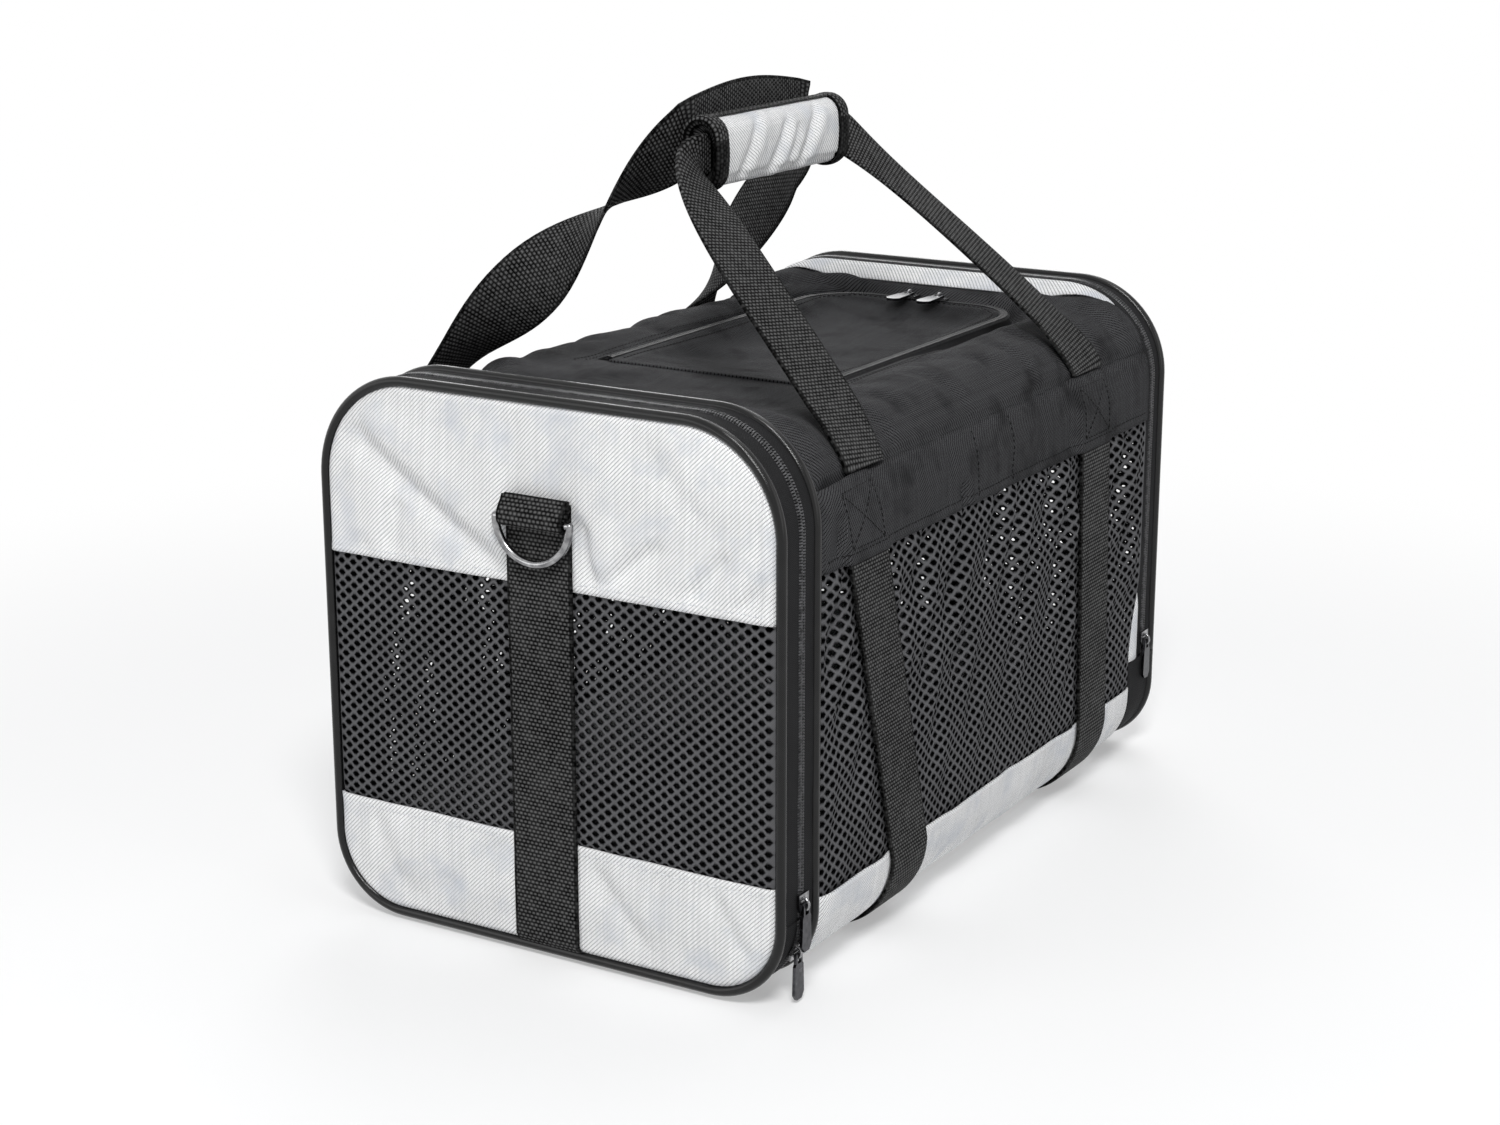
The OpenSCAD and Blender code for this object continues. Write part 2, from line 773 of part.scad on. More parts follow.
function unit(v) = v / norm(v);
function bezier(a, b, c, d, t) =
    pow(1 - t, 3) * a + 3 * pow(1 - t, 2) * t * b + 3 * (1 - t) * t * t * c + pow(t, 3) * d;
function bezier_way(a, b, c, d, t) = unit(
    pow(1 - t, 2) * (b - a) + 2 * (1 - t) * t * (c - b) + t * t * (d - c));

// One leg from its root: [place, direction, width direction, share of the way].
// It rises upright first; the lean turns its flat side outward until it stands on edge at the grip.
function leg(root_y, top, side, rise, lean, turn) = let (
        root = [side * root_x, root_y, root_z],
        inward = sign(top[1] - root_y),
        b = root + [0, 0, rise],
        c = top - [0, inward * turn, turn / 2]
    ) [for (i = [0 : leg_steps]) let (
        t = i / leg_steps,
        way = bezier_way(root, b, c, top, t),
        out = side * lean * min(1, 4 * t) * (1 - pow(t, 6)),
        flat = unit((1 - t) * [0, inward, 0] + t * [out, 0, -1])
    ) [bezier(root, b, c, top, t), way, unit(flat - (flat * way) * way), t]];

function strap_section(station, w, t, turn) = let (
        side = w / 2 * station[2],
        out = t / 2 * cross(station[1], station[2])
    ) turn > 0
        ? [for (v = [[1, 1], [-1, 1], [-1, -1], [1, -1]]) station[0] + v[0] * side + v[1] * out]
        : [for (v = [[1, -1], [-1, -1], [-1, 1], [1, 1]]) station[0] + v[0] * side + v[1] * out];

function mix(a, b, t) = a + (b - a) * t;

module handle(side, x, z, top_half, top_w, top_t, rise, lean, turn) {
    ends = [for (s = [-1, 1]) [x, grip_y + s * top_half, z]];
    front_leg = leg(root_front, ends[0], side, rise, lean[0], turn);
    rear_leg = leg(root_rear, ends[1], side, rise, lean[1], turn);
    rings = concat(
        [for (s = front_leg) strap_section(s, mix(web_w, top_w, pow(s[3], 4)), mix(web_t, top_t, s[3]), 1)],
        [for (i = [1 : top_steps - 1])
            strap_section([mix(ends[0], ends[1], i / top_steps), [0, 1, 0], [0, 0, -1]], top_w, top_t, 1)],
        [for (i = [leg_steps : -1 : 0]) let (s = rear_leg[i])
            strap_section(s, mix(web_w, top_w, pow(s[3], 4)), mix(web_t, top_t, s[3]), -1)]
    );
    last = 4 * (len(rings) - 1);
    faces = concat(
        [for (k = [0 : len(rings) - 2]) each ring_faces(4 * k, 4 * k + 4, 4)],
        [[0, 1, 2], [0, 2, 3], [last, last + 2, last + 1], [last, last + 3, last + 2]]
    );
    polyhedron([for (ring = rings) each ring], faces, convexity = 6);
}

module right_handle() {
    level = grip_l / 2 + grip_lead;
    color(webbing) handle(1, grip_x, grip_z, level, fold_h, fold_t, right_rise, right_lean, right_turn);
}

module left_handle() {
    far_z = grip_z + far_rise;
    level = grip_l / 2 - far_short;
    color(webbing) handle(-1, far_x, far_z, level, web_w, web_t, left_rise, left_lean, left_turn);
}

// Padded grip in two halves round the right handle's folded webbing

module grip_2d() {
    translate([grip_x, grip_z]) difference() {
        union() {
            for (s = [-1, 1]) translate([0, s * grip_side]) circle(grip_r);
            translate([-grip_r, -grip_side]) square([2 * grip_r, 2 * grip_side]);
        }
        square([fold_t + 2 * run_gap, fold_h + 2 * run_gap], center = true);
    }
}

module grip_half(left, right) {
    color(grey) along(grip_y - grip_l / 2, grip_y + grip_l / 2) across(left, right) grip_2d();
}

module grip_pad() { grip_half(-big, grip_x - seam_gap / 2); }
module grip_flap() { grip_half(grip_x + seam_gap / 2, big); }

top_panel();
side_band_right();
side_band_left();
side_net_right();
side_net_left();
lower_band_right();
lower_band_left();
bottom_panel();
base_board();
mat();
front_belt();
rear_belt();
front_body_piping();
front_hoop_wire();
front_body_tape();
front_body_chain();
front_hinge_tape();
rear_gusset();
rear_body_tape();
rear_body_chain();
rear_lower_binding();
rear_lower_panel();
rear_lower_piping();
rear_lower_strap();
hatch_frame_chain();
front_upper_panel();
front_net();
front_lower_panel();
front_door_piping();
front_door_tape();
front_door_chain();
front_strap();
front_ring_loop();
front_ring();
rear_upper_panel();
rear_net();
rear_door_piping();
rear_door_tape();
rear_door_chain();
rear_strap();
rear_ring_loop();
rear_ring();
hatch_flap();
hatch_flap_chain();
hatch_slider_left();
hatch_slider_right();
hatch_pull_left();
hatch_pull_right();
front_slider_upper();
front_pull_upper();
front_slider_lower();
front_pull_lower();
rear_slider();
rear_pull();
right_handle();
grip_pad();
grip_flap();
left_handle();
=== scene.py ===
import math

import bpy
import numpy as np
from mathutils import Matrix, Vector


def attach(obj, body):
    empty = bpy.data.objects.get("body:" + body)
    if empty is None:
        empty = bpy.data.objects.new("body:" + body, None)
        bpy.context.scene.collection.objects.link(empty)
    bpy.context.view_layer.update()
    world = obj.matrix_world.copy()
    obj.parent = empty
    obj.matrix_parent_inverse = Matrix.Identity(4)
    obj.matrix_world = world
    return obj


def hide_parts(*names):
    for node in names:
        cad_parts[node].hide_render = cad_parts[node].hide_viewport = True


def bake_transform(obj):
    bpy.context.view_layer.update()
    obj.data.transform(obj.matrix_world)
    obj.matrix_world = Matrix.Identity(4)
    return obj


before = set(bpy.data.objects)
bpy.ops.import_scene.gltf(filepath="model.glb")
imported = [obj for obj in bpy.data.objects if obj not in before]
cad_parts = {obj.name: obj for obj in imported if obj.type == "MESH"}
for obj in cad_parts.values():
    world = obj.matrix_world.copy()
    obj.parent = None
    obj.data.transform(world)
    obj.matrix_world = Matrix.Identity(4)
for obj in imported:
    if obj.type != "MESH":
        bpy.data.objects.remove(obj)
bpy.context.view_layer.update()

mm = 0.001
bag = {  # the bag's main lines in mm, as the frame has them
    "half": 136.0, "foot": 2.2, "hoopTop": 290.2, "topBend": 56.0, "footBend": 42.0,
    "roof": 274.2, "shoulderBend": 46.0, "seam": 252.2, "bandFoot": 212.2, "lowerSeam": 48.2,
    "frontSeam": -187.8, "rearSeam": 189.7, "frontFace": -225.0, "rearFace": 225.0,
    "windowLow": 64.0, "windowTop": 196.0, "piping": 2.6,
}
bag["topCentre"] = (bag["half"] - bag["topBend"], bag["hoopTop"] - bag["topBend"])
bag["footCentre"] = (bag["half"] - bag["footBend"], bag["foot"] + bag["footBend"])
bag["shoulder"] = (bag["half"] - bag["shoulderBend"], bag["roof"] - bag["shoulderBend"])


def shade(red, green, blue):  # screen colour to a linear one
    line = [c / 255 for c in (red, green, blue)]
    return (*[c / 12.92 if c <= 0.04045 else ((c + 0.055) / 1.055) ** 2.4 for c in line], 1.0)


# camera, light and floor
studio = {
    "place": (0.734, -1.254, 0.565), "azimuth": 30.91, "elevation": 15.83, "lens": 65.0,
    "sky": 0.26, "skyTint": (0.97, 0.99, 1.02, 1.0), "floor": (0.93, 0.93, 0.93, 1.0), "floorHalf": 20.0,
    "clear": (0.42, 0.95), "haze": 0.35,  # the floor fades to white over these distances, from this share
    "lamps": [  # name, place, aim, size, power
        ("keyLamp", (1.1, -1.7, 2.3), (0.0, -0.15, 0.18), 0.8, 61.0),
        ("fillLamp", (-1.6, -2.4, 0.9), (0.0, 0.0, 0.16), 1.6, 12.0),
        ("sideLamp", (2.7, -0.2, 0.9), (0.0, 0.0, 0.16), 1.3, 8.0),
        ("topLamp", (0.0, 0.8, 2.4), (0.0, 0.0, 0.2), 1.4, 10.0),
        ("backLamp", (-1.4, 2.2, 1.3), (0.0, 0.0, 0.18), 1.6, 22.0),
    ],
}


class Wire:
    # one socket of a node tree; sums and products of wires add Math nodes
    def __init__(self, tree, socket=None):
        self.tree, self.socket = tree, socket

    def add(self, kind, settings=None, values=None, out=0):
        made = self.tree.nodes.new("ShaderNode" + kind)
        for key, value in (settings or {}).items():
            if key == "stops":
                ramp = made.color_ramp
                while len(ramp.elements) < len(value):
                    ramp.elements.new(0.5)
                for element, (place, colour) in zip(ramp.elements, value):
                    element.position, element.color = place, colour
            else:
                setattr(made, key, value)
        for key, value in (values or {}).items():
            if isinstance(value, Wire):
                self.tree.links.new(value.socket, made.inputs[key])
            else:
                made.inputs[key].default_value = value
        return Wire(self.tree, made.outputs[out] if len(made.outputs) else None)

    def other(self, out):  # another output of the same node
        return Wire(self.tree, self.socket.node.outputs[out])

    def math(self, operation, *others):
        return self.add("Math", {"operation": operation}, dict(enumerate((self, *others))))

    def tint(self, dark, light):  # this wire is the mask between two screen colours or wires
        ends = [end if isinstance(end, Wire) else shade(*end) for end in (dark, light)]
        return self.add("Mix", {"data_type": "RGBA"}, {0: self, 6: ends[0], 7: ends[1]}, 2)

    def __add__(self, other):
        return self.math("ADD", other)

    def __sub__(self, other):
        return self.math("SUBTRACT", other)

    def __rsub__(self, other):
        return self.add("Math", {"operation": "SUBTRACT"}, {0: other, 1: self})

    def __mul__(self, other):
        return self.math("MULTIPLY", other)

    def __truediv__(self, other):
        return self.math("DIVIDE", other)

    __radd__, __rmul__ = __add__, __mul__


def startTree(owner):  # an empty shader tree
    owner.use_nodes = True
    owner.node_tree.nodes.clear()
    return Wire(owner.node_tree)


def seenWire(start):  # 1 for what the camera sees, straight, mirrored or through a gap
    path = start.add("LightPath")
    return path.math("MAXIMUM", path.other(3)).math("MAXIMUM", path.other(6))


def addObject(name, data):
    made = bpy.data.objects.new(name, data)
    bpy.context.scene.collection.objects.link(made)
    return made


def setStudio():
    scene = bpy.context.scene
    scene.view_settings.view_transform = "Standard"
    turn, rise = math.radians(studio["azimuth"]), math.radians(studio["elevation"])
    back = Vector((math.sin(turn) * math.cos(rise), -math.cos(turn) * math.cos(rise), math.sin(rise)))
    lens = bpy.data.cameras.new("photoView")
    lens.lens, lens.sensor_width = studio["lens"], 36.0
    scene.camera = addObject("photoView", lens)
    scene.camera.location = studio["place"]
    scene.camera.rotation_euler = (-back).to_track_quat("-Z", "Y").to_euler()
    for name, place, aim, size, power in studio["lamps"]:
        light = bpy.data.lights.new(name, "AREA")
        light.shape, light.size, light.energy = "DISK", size, power
        lamp = addObject(name, light)
        lamp.location = place
        lamp.rotation_euler = (Vector(aim) - Vector(place)).to_track_quat("-Z", "Y").to_euler()
    scene.world = bpy.data.worlds.new("paleRoom")
    start = startTree(scene.world)
    soft = start.add("Background", None, {"Color": studio["skyTint"], "Strength": studio["sky"]})
    white = start.add("Background", None, {"Color": (1, 1, 1, 1), "Strength": 1.0})
    mixed = start.add("MixShader", None, {0: seenWire(start), 1: soft, 2: white})
    start.add("OutputWorld", None, {0: mixed})


def setFloor():
    half = studio["floorHalf"]
    mesh = bpy.data.meshes.new("floor")
    corners = [(-half, -half, 0), (half, -half, 0), (half, half, 0), (-half, half, 0)]
    mesh.from_pydata(corners, [], [(0, 1, 2, 3)])
    paper = bpy.data.materials.new("studioPaper")
    start = startTree(paper)
    spot = start.add("TexCoord", None, None, 3)
    span = start.add("VectorMath", {"operation": "LENGTH"}, {0: spot}, 1)
    near, far = studio["clear"]
    fade = {0: span, 1: near, 2: far, 3: studio["haze"]}
    away = start.add("MapRange", {"interpolation_type": "SMOOTHSTEP"}, fade)
    matt = start.add("BsdfDiffuse", None, {"Color": studio["floor"]})
    white = start.add("Emission", None, {"Color": (1, 1, 1, 1), "Strength": 1.0})
    mixed = start.add("MixShader", None, {0: seenWire(start) * away, 1: matt, 2: white})
    start.add("OutputMaterial", None, {0: mixed})
    mesh.materials.append(paper)
    addObject("floor", mesh)


setStudio()
setFloor()
print("studio: camera,", len(studio["lamps"]), "lamps, floor")


# finishes; every cloth pattern runs on the piece's own flat map, in mm
pattern = {  # spacing of the yarns that show
    "net": 0.8, "rib": 2.1, "dash": 2.5, "selvedge": 1.6, "zigzag": 2.6, "tape": 1.1, "piping": 0.9,
}


def flatMap(start):
    parts = start.add("SeparateXYZ", None, {0: start.add("UVMap", {"uv_map": "cloth"})})
    return parts, parts.other(1)


def mottle(start, size, detail=2.0):  # soft random shade, 0 to 1, over the bag
    spot = start.add("TexCoord", None, None, 3)
    return start.add("TexNoise", None, {"Vector": spot, "Scale": 1 / size, "Detail": detail})


def randomShade(wire):  # one shade for each whole number
    return wire.add("TexWhiteNoise", {"noise_dimensions": "1D"}, {"W": wire})


def hump(wire):  # 0 to 1 and back over each step of the wire
    line = 2 * wire.math("FRACT") - 1
    return 1 - line * line


# each look gives its colour, roughness, bump as strength, depth and height, and fixed settings
def woven(start, dark, light, pitch, floats, power, rough, depth, shadeAndBlot):  # a slanting weave
    u, v = flatMap(start)
    a, b = u / pitch, v / pitch
    col, row = a.math("FLOOR"), b.math("FLOOR")
    over = ((col - row) / floats).math("FRACT").math("LESS_THAN", 0.6)
    height = over * (0.5 + 0.5 * hump(a)) + (1 - over) * hump(b) * 0.4
    yarn = randomShade(over * col + (1 - over) * (row + 0.5))
    mask = height.math("POWER", power) * (0.8 + 0.3 * mottle(start, 0.05)) + yarn * 0.12 - 0.03
    # random patches mixed towards the look's last colour: a painted bluish shade on the grey cloth, a darker
    # tone on the black
    soft = start.add("MapRange", None, {0: mottle(start, 0.021, 4.0), 1: 0.5, 2: 0.8, 4: 0.7})
    shadedAndBlotted = soft.tint(mask.tint(dark, light), shadeAndBlot)
    return shadedAndBlotted, rough + 0.12 * (1 - height), (0.5, depth, height), {"Specular IOR Level": 0.03}


def knitted(start, dark, light):  # painted light and shade: the strands are lighter along their middles and darken into each hole, whose walls lie in shade
    u, v = flatMap(start)
    eye = start.add("Attribute", {"attribute_name": "eye"}, None, 2)
    twist = hump((u * 0.8 + v) / pattern["net"])
    strand = 1 - eye * eye * eye
    mask = strand.math("POWER", 1.6) * (0.65 + 0.35 * twist) * (0.75 + 0.4 * mottle(start, 0.02))
    relief = (0.7, 0.0008, strand + 0.15 * twist)
    return mask.tint(dark, light), 0.74 - 0.12 * strand, relief, {"Specular IOR Level": 0.03}


def ribbed(start, dark, light, half):  # webbing, plainer along its edges
    u, v = flatMap(start)
    rib = v / pattern["rib"]
    row = rib.math("FLOOR")
    across = u / pattern["dash"] + (row / 2).math("FRACT")
    edge = u.math("ABSOLUTE").math("GREATER_THAN", half - pattern["selvedge"])
    height = hump(rib) * (0.25 + 0.75 * hump(across)) * (1 - 0.5 * edge)
    yarn = randomShade(row + across.math("FLOOR") * 0.37)
    mask = height.math("POWER", 2.4) * 0.95 + yarn * 0.2 + mottle(start, 0.03) * 0.2 - 0.15
    return mask.tint(dark, light), 0.72 - 0.14 * height, (0.8, 0.0005, height), {"Specular IOR Level": 0.04}


def taped(start, dark, light):  # the zigzag weave of zip tape
    u, v = flatMap(start)
    zig = ((u / pattern["zigzag"]).math("FRACT") - 0.5).math("ABSOLUTE") * pattern["zigzag"]
    height = hump((v + zig) / pattern["tape"])
    mask = height * 0.7 + mottle(start, 0.02) * 0.3
    return mask.tint(dark, light), 0.74 - 0.1 * height, (0.5, 0.0003, height), {"Specular IOR Level": 0.04}


def piped(start, dark, light):  # shiny cover with slanting grain; random lighter patches, partly wear and partly a painted sheen
    u, v = flatMap(start)
    height = hump((u + v) / pattern["piping"])
    rubbedSheen = start.add("MapRange", None, {0: mottle(start, 0.012, 4.0), 1: 0.5, 2: 0.75})
    mask = height * 0.3 + rubbedSheen * 0.5
    return mask.tint(dark, light), 0.14 + 0.12 * rubbedSheen, (0.25, 0.0002, height), {"Specular IOR Level": 0.34}


def plain(start, dark, light, rough, metal, grain, depth, gloss=0.5, sheen=0.0):  # metal, board, thread
    spots = mottle(start, grain, 5.0)
    worn = start.add("MapRange", None, {0: spots, 1: 0.35, 2: 0.68})
    fixed = {"Metallic": metal, "Specular IOR Level": gloss, "Sheen Weight": sheen}
    return worn.tint(dark, light), rough + 0.12 * worn, (0.35, depth, spots), fixed


def makeFinish(name, look, *settings):
    material = bpy.data.materials.new(name)
    start = startTree(material)
    colour, rough, (strength, depth, height), fixed = look(start, *settings)
    bump = start.add("Bump", None, {"Strength": strength, "Distance": depth, "Height": height})
    shader = {"Base Color": colour, "Roughness": rough, "Normal": bump} | fixed
    start.add("OutputMaterial", None, {0: start.add("BsdfPrincipled", None, shader)})
    return material


looks = {  # dark and light, then the look's other settings in its own order
    # the grey cloth's last colour is a painted bluish shade, mixed in as random patches
    "greyOxford": (woven, (60, 63, 68), (255, 255, 255), 0.56, 4, 1.0, 0.78, 0.0005, (184, 189, 198)),
    # the black cloth's light colour, sharpened by its power, paints a highlight on each yarn's crest over its
    # weave
    "blackOxford": (woven, (0, 0, 0), (94, 94, 96), 0.56, 4, 6.0, 0.76, 0.0006, (10, 10, 11)),
    "netYarn": (knitted, (4, 4, 5), (97, 97, 99)),
    # the webbing's light colour paints a highlight on each rib's crest over its dash pattern
    "webbing": (ribbed, (0, 0, 0), (96, 96, 96), 19.0),
    "zipTape": (taped, (4, 4, 5), (46, 46, 47)),
    "pipingCover": (piped, (0, 0, 0), (22, 22, 23)),
    "zipCoil": (plain, (24, 24, 25), (92, 92, 94), 0.3, 0.0, 0.002, 0.0001, 0.25),
    # a darker copy of the zip coil's finish: painted shade for the hatch's teeth, which face up into the
    # lamps
    "hatchCoilShaded": (plain, (6, 6, 7), (44, 44, 46), 0.4, 0.0, 0.002, 0.0001, 0.1),
    "nickelPlate": (plain, (112, 112, 114), (168, 168, 169), 0.14, 1.0, 0.004, 0.00006),
    "gunmetalPlate": (plain, (58, 58, 61), (84, 84, 87), 0.16, 1.0, 0.003, 0.00003),
    "springWire": (plain, (120, 120, 120), (160, 160, 160), 0.3, 1.0, 0.004, 0.00005),
    "boardSkin": (plain, (24, 24, 26), (46, 46, 48), 0.6, 0.0, 0.002, 0.0002, 0.1),
    "matFleece": (plain, (22, 22, 24), (52, 52, 55), 0.9, 0.0, 0.0022, 0.0012, 0.5, 0.15),
    "blackThread": (plain, (6, 6, 6), (30, 30, 30), 0.6, 0.0, 0.001, 0.0001, 0.1),
    "greyThread": (plain, (196, 198, 202), (232, 233, 235), 0.7, 0.0, 0.001, 0.0001, 0.1),
}
finishes = {name: makeFinish(name, *spec) for name, spec in looks.items()}
print("finishes:", len(finishes))


# cutting and sewing
def smooth(t):
    t = np.clip(t, 0.0, 1.0)
    return t * t * (3 - 2 * t)


def ramp(value, start, over):  # 0 to 1 from a start over a distance, which is negative on the way down
    return smooth((value - start) / over)


def bell(off, width, power=2):  # 1 on a line, fading out on both sides of it
    return np.exp(-(off / width) ** power)


def stack(*columns):  # columns of places, one number standing for a whole column
    return np.stack(np.broadcast_arrays(*columns), -1)


def unit(v):
    return v / np.linalg.norm(v, axis=-1, keepdims=True)


def runAlong(points):  # distance along a line at each of its points
    return np.concatenate([[0], np.cumsum(np.linalg.norm(np.diff(points, axis=0), axis=1))])


def pick(at, s, points):  # what lies at some distances along a line
    return np.stack([np.interp(at, s, column) for column in points.T], -1)


def crinkle(a, b, size, seed):  # smooth random heights, -1 to 1, over a flat cloth in mm
    u, v = np.asarray(a) / size + seed * 17.3, np.asarray(b) / size + seed * 7.9
    col, row = np.floor(u), np.floor(v)
    fu, fv = smooth(u - col), smooth(v - row)

    def knot(p, q):
        h = np.sin(p * 127.1 + q * 311.7) * 4375.85
        return 2 * (h - np.floor(h)) - 1

    low = knot(col, row) * (1 - fu) + knot(col + 1, row) * fu
    high = knot(col, row + 1) * (1 - fu) + knot(col + 1, row + 1) * fu
    return low * (1 - fv) + high * fv


def rumple(a, b, layers, seed=0):  # crinkles over each other: height, size and own seed of each
    return sum(height * crinkle(a, b, size, seed + own) for height, size, own in layers)


def crease(a, b, fold):  # fold: start a, b, end a, b, half width, depth; a ridge lies beside the valley
    a0, b0, a1, b1, width, depth = fold
    length = math.hypot(a1 - a0, b1 - b0)
    along = ((a - a0) * (a1 - a0) + (b - b0) * (b1 - b0)) / length
    off = ((b - b0) * (a1 - a0) - (a - a0) * (b1 - b0)) / length
    ends = smooth(along / (0.3 * length) + 0.4) * smooth((length - along) / (0.3 * length) + 0.4)
    return ends * depth * (bell(off, width) - 0.55 * bell(off - 1.9 * width, 1.5 * width))


def creases(a, b, folds):
    return sum(crease(a, b, fold) for fold in folds)


def gridPart(points, uv, flip=False):  # a map one longer than the points closes the cloth on itself
    rows, cols = points.shape[:2]
    i, j = np.meshgrid(np.arange(uv.shape[0] - 1), np.arange(uv.shape[1] - 1), indexing="ij")
    turn = [(i, j), (i, j + 1), (i + 1, j + 1), (i + 1, j)]
    faces = np.stack([(a % rows) * cols + b % cols for a, b in turn], -1).reshape(-1, 4)
    corners = np.stack([uv[a, b] for a, b in turn], -2).reshape(-1, 2)
    part = points.reshape(-1, 3), faces.tolist(), corners
    return turnOver(part) if flip else part


ringEdges = [(0, 1), (1, 2), (2, 3), (3, 0)]  # of a four-sided tube


def joinParts(*parts):
    points, faces, corners, count = [], [], [], 0
    for p, f, c in parts:
        faces += [[k + count for k in face] for face in f]
        points.append(p)
        corners.append(c)
        count += len(p)
    return np.concatenate(points), faces, np.concatenate(corners)


def eachMap(part):  # every face's stretch of the map
    faces, corners = part[1:]
    return np.split(corners, np.cumsum([len(face) for face in faces])[:-1])


def turnOver(part):
    points, faces = part[:2]
    back = np.concatenate([stretch[::-1] for stretch in eachMap(part)])
    return points, [face[::-1] for face in faces], back


def faceUp(part):  # turned over where its first face looks down
    a, b, c = part[0][part[1][0][:3]]
    return part if np.cross(b - a, c - b)[2] > 0 else turnOver(part)


def closeEnds(part, count, flips):  # caps on the first and last ring of a tube, turned over or not
    points, faces, corners = part
    first, last = list(range(count)), list(range(len(points) - count, len(points)))
    caps = [ring[::-1] if flip else ring for ring, flip in zip((first, last), flips)]
    return points, faces + caps, np.concatenate([corners, np.zeros((2 * count, 2))])


def repeatShape(spots, shape, ways, faces):  # one small shape set along a line, on three directions
    points = spots[:, None] + sum(shape[None, :, k, None] * way[:, None] for k, way in enumerate(ways))
    every = [[k + len(shape) * n for k in face] for n in range(len(spots)) for face in faces]
    return points.reshape(-1, 3), every, np.zeros((sum(len(face) for face in every), 2))


def flatArea(stretch):  # of one face on the map
    u, v = np.asarray(stretch).T
    return abs(np.dot(u, np.roll(v, -1)) - np.dot(v, np.roll(u, -1))) / 2


def asSheet(part):  # measures the flat cut's size and area from the piece's own map; neither is kept
    wide, long = np.ptp(np.asarray(part[2]), axis=0) * mm
    area = min(sum(flatArea(stretch) for stretch in eachMap(part)) * mm * mm, wide * long)


def sewPiece(name, part, finish, body, stands=(), thick=0.0, sharp=None, eyes=None, restsOn=None):
    points, faces, corners = part
    mesh = bpy.data.meshes.new(name)
    mesh.from_pydata((np.asarray(points) * mm).tolist(), [], faces)
    mesh.uv_layers.new(name="cloth").data.foreach_set("uv", np.asarray(corners, np.float32).ravel())
    mesh.polygons.foreach_set("use_smooth", np.ones(len(faces), bool))
    if eyes:  # marks the rims of a net's holes
        mesh.attributes.new("eye", "FLOAT", "POINT").data.foreach_set("value", eyes)
    if sharp:
        mesh.set_sharp_from_angle(angle=math.radians(sharp))
    mesh.materials.append(finishes[finish])
    piece = addObject(name, mesh)
    if thick:
        layer = piece.modifiers.new("clothThickness", "SOLIDIFY")
        layer.thickness, layer.offset, layer.use_even_offset = thick * mm, -1.0, False
    if body:
        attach(piece, body)
    if stands:
        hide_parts(*stands)
    if restsOn is not None:
        asSheet(part)
    return piece


# the end hoops
def hoopLine(inset):  # round the hoop from the middle of its foot, anticlockwise from the front
    half, foot, top = bag["half"] - inset, bag["foot"] + inset, bag["hoopTop"] - inset
    (tx, tz), (fx, fz) = bag["topCentre"], bag["footCentre"]
    low, high = bag["footBend"] - inset, bag["topBend"] - inset
    runs = []

    def straight(x0, z0, x1, z1, nx, nz):
        count = max(2, int(math.hypot(x1 - x0, z1 - z0) / 0.5))
        t = np.linspace(0, 1, count, endpoint=False)
        runs.append(stack(x0 + (x1 - x0) * t, z0 + (z1 - z0) * t, nx, nz))

    def bend(cx, cz, r, first):
        a = np.radians(np.linspace(first, first + 90, int(r * 3.2), endpoint=False))
        runs.append(stack(cx + r * np.cos(a), cz + r * np.sin(a), np.cos(a), np.sin(a)))

    straight(0, foot, fx, foot, 0, -1)
    bend(fx, fz, low, -90)
    straight(half, fz, half, tz, 1, 0)
    bend(tx, tz, high, 0)
    straight(tx, top, -tx, top, 0, 1)
    bend(-tx, tz, high, 90)
    straight(-half, tz, -half, fz, -1, 0)
    bend(-fx, fz, low, 180)
    straight(-fx, foot, 0, foot, 0, -1)
    line = np.concatenate(runs + [runs[0][:1]])
    s = runAlong(line[:, :2])
    return {"s": s, "line": line, "total": s[-1]}


midHoop = hoopLine(bag["piping"])  # the middle of the piping, tape and zip


def onHoop(s):  # x, z and outward way at distances round the hoop
    s = np.mod(s, midHoop["total"])
    return [np.interp(s, midHoop["s"], column) for column in midHoop["line"].T]


def hoopReach(height):  # distance from the foot's middle up the right side to a height
    up = midHoop["s"] < midHoop["total"] / 2
    return np.interp(height, midHoop["line"][up, 1], midHoop["s"][up])


def hoopSpan(above=None, below=None):
    if above is not None:
        start = hoopReach(above)
        return start, midHoop["total"] - start
    if below is not None:
        end = hoopReach(below)
        return -end, end
    return None


def hoopSteps(span, step):  # stations on a stretch of the hoop or all round it, and what lies there
    start, end = span or (0.0, midHoop["total"])
    s = np.linspace(start, end, int((end - start) / step) + 1)
    return s, [k[:, None] for k in onHoop(s if span else s[:-1])]


def hoopTube(y, radius, span, sides=14, step=3.5):
    s, (x, z, nx, nz) = hoopSteps(span, step)
    a = np.linspace(0, 2 * np.pi, sides, endpoint=False)[None, :]
    out = radius * np.cos(a)
    points = stack(x + out * nx, y + radius * np.sin(a), z + out * nz)
    around = np.linspace(0, 2 * np.pi * radius, sides + 1)
    part = gridPart(points, np.stack(np.meshgrid(around, s), -1))
    return closeEnds(part, sides, (True, False)) if span else part


def hoopStrip(yFrom, yTo, inset, span, cols, lift, step=4.0):
    s, (x, z, nx, nz) = hoopSteps(span, step)
    t = np.linspace(0, 1, cols + 1)[None, :]
    out = lift(t, s[:len(x), None]) - inset + bag["piping"]
    near = (yFrom(s) if callable(yFrom) else yFrom + 0 * s)[:, None]
    y = near + (yTo - near) * t
    points = stack(x + out * nx, y[:len(x)], z + out * nz)
    return gridPart(points, stack(y, s[:, None]))


